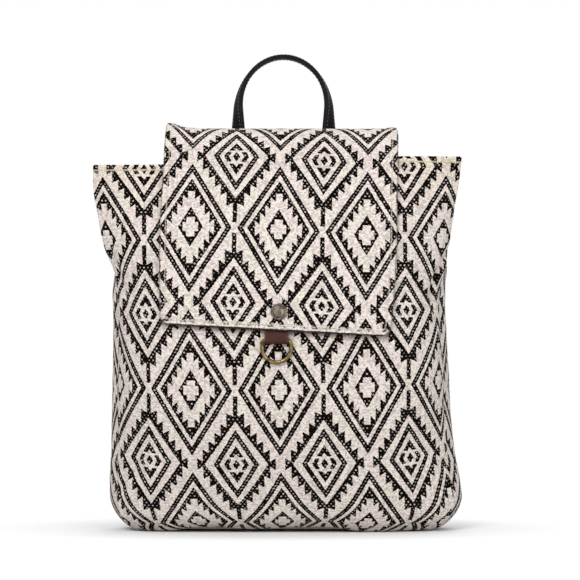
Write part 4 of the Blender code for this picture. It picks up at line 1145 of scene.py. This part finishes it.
def build_flap():
    """The flap with its hem, stitches and lining: up the back, over the mouth and down the front."""
    low = LINING + SEAM_GAP
    smooth = flap_grid(low + FLAP_CANVAS, 0.0)
    normal = grid_normals(smooth) * -1
    relief = flap_relief(smooth)
    outer = smooth + normal * relief[..., None]
    inner = flap_grid(low, 0.0) + normal * np.maximum(relief - HEM_RISE, -0.0004)[..., None]
    z = outer[..., 2]
    middle = flap_point(0.0, WAYS, low)
    arc = np.concatenate([[0], np.cumsum(np.linalg.norm(np.diff(middle, axis=0), axis=1))])
    upper = np.interp(FLAP_ROWS[-1][0], middle[::-1, 2][WAYS[::-1] > 1.5], arc[::-1][WAYS[::-1] > 1.5])
    rows = np.where(
        (WAYS > 1.5)[None, :] & (z < FLAP_ROWS[-1][0]),
        flap_rows(z),
        (arc - upper)[None, :] / (PITCH_DOWN * UNIT) * FLAP_TOP_GROWTH,
    )
    x = outer[..., 0]
    place = print_place(x * FLAP_SPREAD, rows, flap_column(z))
    place[..., 1] -= flap_drop(x) * (WAYS > 1.5)
    left, right = flap_width(WAYS)
    aside, below = flap_margins(outer)
    hem = np.stack([np.minimum(aside, below) * 1000, ON_FLAP + np.minimum(below * 1000, 99)], axis=-1)
    piece = cloth_piece("flap_cloth", outer, inner, place, CANVAS_LOOK, hem)
    stands_for(piece, "flap")
    facing = grid_normals(outer) * -1
    way_rows = np.arange(len(WAYS))
    line_ways = np.linspace(0.15, 2.967, 300)
    row = np.interp(line_ways, WAYS, way_rows)
    wide = np.interp(line_ways, WAYS, right - left)
    sides = [
        on_grid(outer, facing, FLAP_COLUMNS * HEM_WIDTH / wide, row, 0.0001),
        on_grid(outer, facing, FLAP_COLUMNS * (1 - HEM_WIDTH / wide), row, 0.0001),
    ]
    span = np.linspace(0.028, 0.972, 260)
    fall = FLAP_SPRING - flap_edge(np.interp(span, [0, 1], [left[-1], right[-1]]))
    hem_row = np.interp(3 - HEM_WIDTH / fall, WAYS, way_rows)
    sides.append(on_grid(outer, facing, FLAP_COLUMNS * span, hem_row, 0.0001))
    stitches("flap_stitches", sides, PALE_THREAD)

    under = flap_grid(0.0, 0.0015)
    over = flap_grid(LINING, 0.0015)
    cloth = np.stack([over[..., 0] / UNIT, (arc / UNIT)[None, :] + 0 * over[..., 0]], axis=-1)
    lining = cloth_piece("flap_lining_cloth", over, under, cloth, TWILL_LOOK)
    stands_for(lining, "flap_lining")


def smooth_path(points, count, extras=()):
    """A finer line through the same points."""
    t = np.arange(len(points))
    fine = np.linspace(0, len(points) - 1, count)
    k = np.clip(fine.astype(int), 0, len(points) - 2)
    s = (fine - k)[:, None]
    made = []
    for line in (points, *extras):
        line = np.array(line, float)
        made.append(hermite(line, np.gradient(line, t, axis=0), k, s))
    return made


def strap_section(width, thickness, corner, groove=0.0):
    """A strap's outline, with round corners; a groove shows that it is two layers."""
    points = []
    half_w, half_t = width / 2 - corner, thickness / 2 - corner
    for u, v, start in ((1, 1, 0), (-1, 1, 1), (-1, -1, 2), (1, -1, 3)):
        for a in np.linspace(start, start + 1, 5) * np.pi / 2:
            points.append((u * half_w + corner * math.cos(a), v * half_t + corner * math.sin(a)))
        if u * v < 0 and groove and v == 1:
            points.append((-width / 2 + groove, 0.0))
        if u > 0 and v < 0 and groove:
            points.append((width / 2 - groove, 0.0))
        if v == 1 and u == 1 or v == -1 and u == -1:
            for share in (0.6, 0.2, -0.2, -0.6):
                points.append((u * half_w * share, v * thickness / 2))
    return points


def strap_piece(name, path, across, width, thickness, material, node, count=140, corner=0.3, groove=0.0):
    """A strap swept along a path, with its UV along and across it. Returns its lines for stitches."""
    path, across = smooth_path(path, count, (across,))
    along = np.gradient(path, axis=0)
    along /= np.linalg.norm(along, axis=1, keepdims=True)
    across -= along * np.sum(along * across, axis=1, keepdims=True)
    across /= np.linalg.norm(across, axis=1, keepdims=True)
    normal = np.cross(along, across)
    section = strap_section(width, thickness, thickness * corner, groove)
    way = np.concatenate([[0], np.cumsum(np.linalg.norm(np.diff(path, axis=0), axis=1))])
    points, cloth, bake = [], [], []
    size = len(section)
    for k in range(count):
        for u, v in section:
            points.append(path[k] + across[k] * u + normal[k] * v)
    for k in range(count - 1):
        for s in range(size):
            two = (s + 1) % size
            for station, place, turn in ((k, s, s), (k, two, s + 1), (k + 1, two, s + 1), (k + 1, s, s)):
                cloth.append((way[station] * 1000, section[place][0] / width * 2))
                bake.append((0.02 + 0.96 * way[station] / way[-1], 0.02 + 0.90 * turn / size))
    for end, ring in ((0, section[::-1]), (count - 1, section)):
        for u, v in ring:
            cloth.append((way[end] * 1000, 0.95))
            bake.append((0.1 + 0.3 * (end > 0) + 0.1 * u / width, 0.96 + 0.03 * v / thickness))
    made = add_mesh(name, points, tube_faces(count, size), {"OFBake": bake, "cloth": cloth}, material)
    made.data.set_sharp_from_angle(angle=0.9)
    stands_for(made, node)
    return path, across, normal


def strap_stitches(name, lines, inset, width, thickness, start, end, pitch=0.0036, thread=0.00034):
    """Stitches along both edges of a strap."""
    path, across, normal = lines
    first, last = int(len(path) * start), int(len(path) * end)
    rows = []
    for edge in (-1, 1):
        for face in (-1, 1):
            line = path + across * edge * (width / 2 - inset) + normal * face * (thickness / 2 - 0.00010)
            rows.append((line[first:last], normal[first:last] * face))
    stitches(name, rows, DARK_THREAD, pitch, pitch * 0.72, thread)


def rear_layer(x, height, depth):
    """How far back a layer lies that is over the flap's seam."""
    under = back_wall.at(x, np.minimum(height, FLAP_SPRING))
    return float(under) + FLAP_STAND + LINING + 2 * SEAM_GAP + FLAP_CANVAS + depth


def build_handle():
    """A leather strip, two layers stitched, whose feet are sewn to the back and whose top stands on edge."""
    layer = LAYER_GAP + HANDLE_LEATHER / 2
    rise = HANDLE_TOP - HANDLE_LEATHER / 2 - HANDLE_SHOULDER
    legs = [(HANDLE_SPREAD, z) for z in np.linspace(HANDLE_FOOT, HANDLE_SHOULDER, 9)[:-1]]
    angles = np.linspace(0, np.pi / 2, 18)
    out = HANDLE_SPREAD * np.cos(angles)
    up = HANDLE_SHOULDER + rise * np.sin(angles)
    half = legs + list(zip(out, up))
    whole = [(-x, z) for x, z in half] + [(x, z) for x, z in half[-2::-1]]
    path, across = [], []
    for x, z in whole:
        share = np.clip((HANDLE_TOP - z) / (HANDLE_TOP - HANDLE_FLAT), 0, 1)
        facing = float(share**HANDLE_TWIST_POWER)
        path.append((HANDLE_CENTRE + x, rear_layer(HANDLE_CENTRE + x, z, layer), z))
        across.append((facing * (-1 if x < 0 else 1), 1 - facing, 0.0))
    lines = strap_piece(
        "haul_handle", path, across, HANDLE_WIDTH, HANDLE_LEATHER, BLACK_LEATHER, "handle", 260,
        0.36, 0.0005,
    )
    strap_stitches("handle_stitches", lines, 0.0026, HANDLE_WIDTH, HANDLE_LEATHER, 0.01, 0.99)


def build_yoke():
    """The leather patch over the feet of the handle and the heads of the straps, stitched round its edge."""
    depth = LAYER_GAP * 2 + max(HANDLE_LEATHER, STRAP_LEATHER) + YOKE_LEATHER / 2
    heights = np.linspace(YOKE_MIDDLE - YOKE_HEIGHT / 2, YOKE_MIDDLE + YOKE_HEIGHT / 2, 5)
    path = [(HANDLE_CENTRE, rear_layer(HANDLE_CENTRE, z, depth), z) for z in heights]
    across = [(1, 0, 0)] * len(path)
    lines = strap_piece(
        "back_yoke", path, across, YOKE_HALF * 2, YOKE_LEATHER, BLACK_LEATHER, "strap_yoke", 40, 0.36
    )
    path, across, normal = lines
    rows = []
    side = -1 if normal[0][1] < 0 else 1
    face = normal * side * (YOKE_LEATHER / 2 + 0.00006)
    inset = 0.003
    for edge in (-1, 1):
        rows.append(((path + across * edge * (YOKE_HALF - inset) + face)[3:-3], normal[3:-3] * side))
    for k in (3, len(path) - 4):
        span = np.linspace(-YOKE_HALF + inset, YOKE_HALF - inset, 60)[:, None]
        rows.append((path[k] + across[k] * span + face[k], np.repeat((normal[k] * side)[None], 60, axis=0)))
    stitches("yoke_stitches", rows, DARK_THREAD, 0.0036, 0.0026, 0.00034)


def turn_round(centre, outward, onward, radius):
    """Half a turn round a bar."""
    angles = np.linspace(0, np.pi, 7)
    return [centre + radius * (outward * np.cos(a) + onward * np.sin(a)) for a in angles]


def unit(vector):
    return vector / np.linalg.norm(vector)


def on_back(x, height, stand):
    """A place that stands off the back panel."""
    return np.array([x, float(back_wall.at(x, height)) + stand, height])


def strap_route(side):
    """A strap's way from under the yoke down toward the slider: it bows away so that an arm goes through."""
    start = np.array([HANDLE_CENTRE + side * STRAP_TOP_X, YOKE_MIDDLE + STRAP_HEAD])
    end = np.array([side * RING_X, LUG_RING_HEIGHT])
    top = rear_layer(0.0, FLAP_SPRING, LAYER_GAP + STRAP_LEATHER / 2) - float(back_wall.at(0.0, FLAP_SPRING))
    points = []
    for t in np.linspace(0, 1, STRAP_STATIONS):
        free = max(0.0, (t - STRAP_HELD) / (1 - STRAP_HELD))
        x = start[0] + (end[0] - start[0]) * free**1.15
        z = start[1] + (end[1] - start[1]) * t
        stand = top + (WEB_STAND - top) * free + STRAP_BOW * np.sin(np.pi * free**0.9) ** 1.3
        points.append(on_back(x, z, stand))
    return points


def barred_frame(name, centre, across, along, outward, width, height, node):
    """A flat slider of three bars between two sides, with its edges rounded."""
    half, tall, bar = width / 2, height / 2, SLIDER_BAR
    lines = [-half, -half + bar, half - bar, half]
    levels = [-tall, -tall + bar, -bar / 2, bar / 2, tall - bar, tall]
    holes = {(1, 1), (1, 3)}
    bm = bmesh.new()
    corner = {}
    for i, u in enumerate(lines):
        for j, v in enumerate(levels):
            for k in (-1, 1):
                corner[i, j, k] = bm.verts.new(centre + across * u + along * v + outward * k * SLIDER_PLATE / 2)
    solid = {(i, j) for i in range(3) for j in range(5)} - holes
    edges = {(-1, 0): ((0, 0), (0, 1)), (1, 0): ((1, 0), (1, 1)), (0, -1): ((0, 0), (1, 0)), (0, 1): ((0, 1), (1, 1))}
    for i, j in solid:
        for k in (-1, 1):
            bm.faces.new([corner[i + a, j + b, k] for a, b in ((0, 0), (1, 0), (1, 1), (0, 1))])
        for (right, up), (a, b) in edges.items():
            if (i + right, j + up) not in solid:
                one, two = (i + a[0], j + a[1]), (i + b[0], j + b[1])
                bm.faces.new([corner[(*one, -1)], corner[(*two, -1)], corner[(*two, 1)], corner[(*one, 1)]])
    bmesh.ops.recalc_face_normals(bm, faces=bm.faces)
    mesh = bpy.data.meshes.new(name)
    bm.to_mesh(mesh)
    bm.free()
    mesh.materials.append(BRASS)
    made = bpy.data.objects.new(name, mesh)
    bpy.context.collection.objects.link(made)
    bevel = made.modifiers.new("worn_edges", "BEVEL")
    bevel.width = 0.0008
    bevel.segments = 4
    bevel.limit_method = "ANGLE"
    mesh.shade_smooth()
    mesh.set_sharp_from_angle(angle=1.2)
    stands_for(made, node)


def wire_loop(name, points, wire, body, node):
    """A closed loop of round wire, made finer than its solid."""
    sides = 20
    points = np.array(points)
    count = len(points)
    ahead = np.roll(points, -1, axis=0) - np.roll(points, 1, axis=0)
    ahead /= np.linalg.norm(ahead, axis=1, keepdims=True)
    centre = points.mean(axis=0)
    plane = unit(np.cross(points[0] - centre, points[count // 4] - centre))
    verts = []
    for p, a in zip(points, ahead):
        out = np.cross(a, plane)
        for s in range(sides):
            angle = 2 * math.pi * s / sides
            verts.append(p + wire / 2 * (math.cos(angle) * out + math.sin(angle) * plane))
    made = add_mesh(name, verts, tube_faces(count, sides, closed=True), {}, BRASS)
    face_outward(made)
    stands_for(made, node, body)


def rounded_loop(low, high, across, half):
    """The middle line of a ring with round corners, between its lower and its upper bar."""
    along = unit(high - low)
    tall = np.linalg.norm(high - low) / 2
    centre = (low + high) / 2
    corner = LOWER_WIRE
    corners = ((1, 1, 0), (-1, 1, 1), (-1, -1, 2), (1, -1, 3))
    points = []
    for k, (u, v, start) in enumerate(corners):
        for a in np.linspace(start, start + 1, 9) * np.pi / 2:
            x = u * (half - corner) + corner * np.cos(a)
            y = v * (tall - corner) + corner * np.sin(a)
            points.append(centre + across * x + along * y)
        following = corners[(k + 1) % 4]
        a = (start + 1) * np.pi / 2
        here = points[-1]
        there_x = following[0] * (half - corner) + corner * np.cos(a)
        there_y = following[1] * (tall - corner) + corner * np.sin(a)
        there = centre + across * there_x + along * there_y
        points += [here + (there - here) * t for t in (0.25, 0.5, 0.75)]
    return points


def build_strap(side, word):
    """One shoulder strap: leather from the yoke to a slider, webbing from there to a ring held in a lug."""
    route = strap_route(side)
    face = np.array([0.0, 1.0, 0.0])
    split = route[STRAP_SPLIT]
    onward = unit(route[STRAP_SPLIT + 1] - route[STRAP_SPLIT - 1])
    across = unit(np.cross(onward, face))
    outward = unit(np.cross(across, onward))
    leather_turn = SLIDER_REACH + LAYER_GAP + STRAP_LEATHER / 2
    top_bar = split - outward * leather_turn
    sides = [unit(np.cross(way, face)) for way in np.gradient(np.array(route), axis=0)[:STRAP_SPLIT]]
    path = route[:STRAP_SPLIT] + turn_round(top_bar, outward, onward, leather_turn)
    path += [top_bar - outward * leather_turn - onward * STRAP_RETURN * k for k in (0.5, 1.0)]
    sides += [across] * (len(path) - STRAP_SPLIT)
    lines = strap_piece(
        word + "_strap_leather", path, sides, STRAP_WIDTH, STRAP_LEATHER, BLACK_LEATHER, word + "_shoulder_strap",
        240, 0.4,
    )
    strap_stitches(word + "_strap_stitches", lines, 0.0030, STRAP_WIDTH, STRAP_LEATHER, 0.12, 0.66)

    pitch = SLIDER_BAR + SLIDER_SLOT
    middle = top_bar + onward * pitch
    width = STRAP_WIDTH + 2 * (SLIDER_BAR + LAYER_GAP)
    tall = 3 * SLIDER_BAR + 2 * SLIDER_SLOT
    barred_frame(word + "_slider_frame", middle, across, onward, outward, width, tall, word + "_slider")

    foot = on_back(side * LUG_X, LUG_HEIGHT, 0.0)
    lean = unit(on_back(side * RING_X, LUG_RING_HEIGHT, 0.0) - foot)
    lug_ends = [on_back(side * LUG_X + half, LUG_HEIGHT, 0.0) for half in (LUG_WIDTH / 2, -LUG_WIDTH / 2)]
    lug_out = unit(np.cross(lean, lug_ends[0] - lug_ends[1]))
    lug_across = unit(np.cross(lean, lug_out))
    lug_turn = LOWER_WIRE / 2 + RING_PLAY + LUG_LEATHER / 2
    low_bar = foot + lean * LUG_LENGTH + lug_out * (LUG_SEAT + lug_turn + LUG_LEATHER / 2)
    legs = (LUG_LEATHER + SEAM_GAP) / 2
    base = foot + lug_out * (LUG_SEAT + LUG_LEATHER / 2 + legs)
    path = [base + lug_out * legs, base + lug_out * legs + lean * LUG_LENGTH * 0.55]
    path += turn_round(low_bar, lug_out, lean, lug_turn)
    path += [base - lug_out * legs + lean * LUG_LENGTH * 0.55, base - lug_out * legs]
    strap_piece(
        word + "_lug_leather", path, [lug_across] * len(path), LUG_WIDTH, LUG_LEATHER, BLACK_LEATHER,
        word + "_strap_lug", 90, 0.4,
    )
    high_bar = low_bar + lean * LOWER_RING_TALL
    loop = rounded_loop(low_bar, high_bar, lug_across, LOWER_RING_HALF)
    wire_loop(word + "_lower_ring", loop, LOWER_WIRE, "bag", word + "_strap_ring")

    web_turn = SLIDER_REACH + LAYER_GAP + WEB_THICK / 2
    ring_turn = LOWER_WIRE / 2 + RING_PLAY + WEB_THICK / 2
    fall = high_bar - middle
    fall_way = unit(fall - lug_across * np.dot(fall, lug_across))
    fall_out = unit(lug_out - fall_way * np.dot(lug_out, fall_way))
    path = [middle + outward * web_turn + onward * WEB_TAIL * k for k in (1.0, 0.6, 0.25)]
    path += turn_round(middle, outward, -onward, web_turn)
    start = middle - outward * web_turn + onward * (pitch + SLIDER_BAR)
    target = high_bar + fall_out * ring_turn - fall_way * LOWER_WIRE
    held = len(path) + 1
    path += [start + (target - start) * k for k in (0.0, 0.25, 0.5, 0.75, 1.0)]
    path += turn_round(high_bar, fall_out, fall_way, ring_turn)
    path += [high_bar - fall_out * ring_turn - fall_way * WEB_RETURN * k for k in (0.5, 1.0)]
    low_across = lug_across * np.sign(np.dot(lug_across, across))
    sides = [across] * held
    sides += [unit(across * (1 - k) + low_across * k) for k in (0.25, 0.5, 0.75)]
    sides += [low_across] * (len(path) - len(sides))
    strap_piece(
        word + "_cotton_web", path, sides, WEB_WIDTH, WEB_THICK, WEBBING, word + "_webbing", 220, 0.42
    )


def flap_at(x, height, lift):
    """How far front the flap lies at a place of its front."""
    return float(flap_point(x, 2 + (FLAP_SPRING - height) / (FLAP_SPRING - flap_edge(x)), lift)[1])


def build_cap():
    """The snap's cap: a low dome with turned rings."""
    slope = flap_at(SNAP_X, SNAP_HEIGHT + SNAP_RADIUS, 0.0) - flap_at(SNAP_X, SNAP_HEIGHT - SNAP_RADIUS, 0.0)
    lean = math.atan(slope / (2 * SNAP_RADIUS))
    over = flap_at(SNAP_X, SNAP_HEIGHT, LINING + SEAM_GAP + FLAP_CANVAS)
    centre = np.array([SNAP_X, over - SEAM_GAP, SNAP_HEIGHT])
    forward = np.array([0, -math.cos(lean), math.sin(lean)])
    upward = np.array([0, math.sin(lean), math.cos(lean)])
    dome = [
        (0.93, 0.0), (0.97, 0.05), (1.0, 0.22), (0.995, 0.40), (0.965, 0.58), (0.92, 0.70), (0.87, 0.77),
        (0.825, 0.80), (0.79, 0.77), (0.765, 0.68), (0.745, 0.62), (0.715, 0.62), (0.695, 0.70), (0.67, 0.80),
        (0.63, 0.86), (0.56, 0.89), (0.50, 0.90), (0.475, 0.86), (0.455, 0.86), (0.43, 0.92), (0.30, 0.97),
        (0.15, 0.995), (0.03, 1.0),
    ]
    sides = 72
    points = []
    for r, out in dome:
        for s in range(sides):
            angle = 2 * math.pi * s / sides
            spoke = np.array([math.cos(angle), 0, 0]) + math.sin(angle) * upward
            points.append(centre + spoke * r * CAP_RADIUS + forward * out * CAP_DOME)
    made = add_mesh("turned_cap", points, tube_faces(len(dome), sides), {}, BRONZE)
    face_outward(made)
    stands_for(made, "snap_cap")


def build_tab_and_ring():
    """A leather strip sewn under the flap's edge, folded round the D-ring's bar."""
    panel = float(front_wall.at(TAB_X, RING_HEIGHT))
    loop = RING_WIRE / 2 + RING_PLAY + TAB_LEATHER / 2
    pivot = np.array([TAB_X, panel - LAYER_GAP - loop - TAB_LEATHER / 2, RING_HEIGHT])
    leg = (TAB_LEATHER + SEAM_GAP) / 2
    path = []
    for side in (1, -1):
        knots = []
        for z in (TAB_HEM + TAB_RISE, TAB_HEM + TAB_RISE / 2, TAB_HEM):
            middle = (float(front_wall.at(TAB_X, z)) + flap_at(TAB_X, z, 0.0)) / 2
            knots.append((z, middle + side * leg))
        knots.append(((TAB_HEM + RING_HEIGHT) / 2, pivot[1] + side * (leg + loop) / 2))
        knots.append((RING_HEIGHT, pivot[1] + side * loop))
        path.append([np.array([TAB_X, y, z]) for z, y in knots])
    under = [pivot + np.array([0, loop * np.cos(a), -loop * np.sin(a)]) for a in np.linspace(0, np.pi, 9)[1:-1]]
    whole = path[0] + under + path[1][::-1]
    strap_piece(
        "tab_leather", whole, [(1, 0, 0)] * len(whole), TAB_WIDTH, TAB_LEATHER, TAB_LOOK, "pull_tab",
        120, 0.42,
    )
    points = [
        (RING_HALF * np.cos(a), 0.0, -RING_STRAIGHT + RING_HALF * np.sin(a)) for a in np.linspace(0, -np.pi, 49)
    ]
    corner = RING_WIRE * 1.05
    for side in (-1, 1):
        straight = [-RING_STRAIGHT + (RING_STRAIGHT - corner) * t for t in (0.4, 0.8)]
        points += [(side * RING_HALF, 0.0, z) for z in straight[::-side]]
        sweep = np.linspace(0, np.pi / 2, 9)[::-side]
        turned = [(side * (RING_HALF - corner + corner * np.cos(a)), 0.0, -corner + corner * np.sin(a)) for a in sweep]
        if side < 0:
            points += turned
            points += [(RING_HALF * t, 0.0, 0.0) for t in (-0.5, 0.0, 0.5)]
        else:
            flat = points[-2:]
            points = points[:-2] + turned + flat
    wire_loop("swing_ring", [pivot + np.array(p) for p in points], RING_WIRE * 1.16, "ring", "d_ring")


def set_stage():
    """A plain pale floor and background, soft light, and the camera, level with the bag's middle."""
    floor = bpy.data.meshes.new("floor")
    corners = [(x * FLOOR_HALF, y * FLOOR_HALF, 0) for x, y in ((-1, -1), (1, -1), (1, 1), (-1, 1))]
    floor.from_pydata(corners, [], [(0, 1, 2, 3)])
    look = Finish("pale_floor", 0.9, specular=0.1)
    ground_x, ground_y, _ = look.split(look.place())
    far = (ground_x * ground_x + ground_y * ground_y * 4.0).math("SQRT")
    seen = look.node("ShaderNodeLightPath", {}, {}, "Is Camera Ray")
    glossy = look.node("ShaderNodeLightPath", {}, {}, "Is Glossy Ray")
    passed = look.node("ShaderNodeLightPath", {}, {}, "Is Transmission Ray")
    shown = seen | glossy | passed
    away = clamped((far - SHADOW_REACH) / SHADOW_FADE)
    look.colour(look.mix(seen, (0.50, 0.50, 0.50), (0.96, 0.96, 0.96)))
    white = look.node("ShaderNodeEmission", {}, {"Color": (1, 1, 1, 1), "Strength": 1.0})
    lit = Socket(look, look.shader.outputs[0])
    mixed = look.node("ShaderNodeMixShader", {}, {0: shown * away, 1: lit, 2: white})
    look.feed(look.tree.nodes["Material Output"].inputs["Surface"], mixed)
    floor.materials.append(look.material)
    ground = bpy.data.objects.new("floor", floor)
    bpy.context.collection.objects.link(ground)

    world = bpy.data.worlds.new("studio")
    bpy.context.scene.world = world
    world.use_nodes = True
    tree = world.node_tree
    background = tree.nodes["Background"]
    room = tree.nodes.new("ShaderNodeBackground")
    room.inputs["Color"].default_value = (1, 1, 1, 1)
    room.inputs["Strength"].default_value = 1.0
    background.inputs["Color"].default_value = (0.97, 0.985, 1.0, 1)
    background.inputs["Strength"].default_value = ROOM_LIGHT
    path = tree.nodes.new("ShaderNodeLightPath")
    either = tree.nodes.new("ShaderNodeMath")
    either.operation = "MAXIMUM"
    tree.links.new(path.outputs["Is Camera Ray"], either.inputs[0])
    tree.links.new(path.outputs["Is Transmission Ray"], either.inputs[1])
    mixer = tree.nodes.new("ShaderNodeMixShader")
    tree.links.new(either.outputs[0], mixer.inputs[0])
    tree.links.new(background.outputs[0], mixer.inputs[1])
    tree.links.new(room.outputs[0], mixer.inputs[2])
    tree.links.new(mixer.outputs[0], tree.nodes["World Output"].inputs["Surface"])

    for name, place, size, power in LAMPS:
        lamp = bpy.data.lights.new(name, "AREA")
        lamp.shape = "SQUARE"
        lamp.size = size
        lamp.energy = power
        made = bpy.data.objects.new(name, lamp)
        made.location = place
        aim = Vector(AIM) - Vector(place)
        made.rotation_euler = aim.to_track_quat("-Z", "Y").to_euler()
        bpy.context.collection.objects.link(made)

    lens = bpy.data.cameras.new("camera")
    lens.sensor_width = SENSOR
    lens.lens = SENSOR * CAMERA_AWAY / PICTURE_WIDTH
    view = bpy.data.objects.new("camera", lens)
    view.location = (PICTURE_X, CAMERA_PLANE - CAMERA_AWAY, PICTURE_Z)
    view.rotation_euler = (math.pi / 2, 0, 0)
    bpy.context.collection.objects.link(view)
    bpy.context.scene.camera = view
    bpy.context.scene.view_settings.view_transform = "Standard"


def build_all():
    """All pieces, then the stage. The socket and the stud keep their solids."""
    inner = build_walls()
    build_base(inner)
    build_lining(inner)
    build_flap()
    build_cap()
    build_tab_and_ring()
    build_handle()
    build_yoke()
    build_strap(-1, "left")
    build_strap(1, "right")
    for node in ("snap_socket", "snap_stud"):
        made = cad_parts[node]
        made.data.materials.clear()
        made.data.materials.append(STEEL)
    set_stage()


build_all()
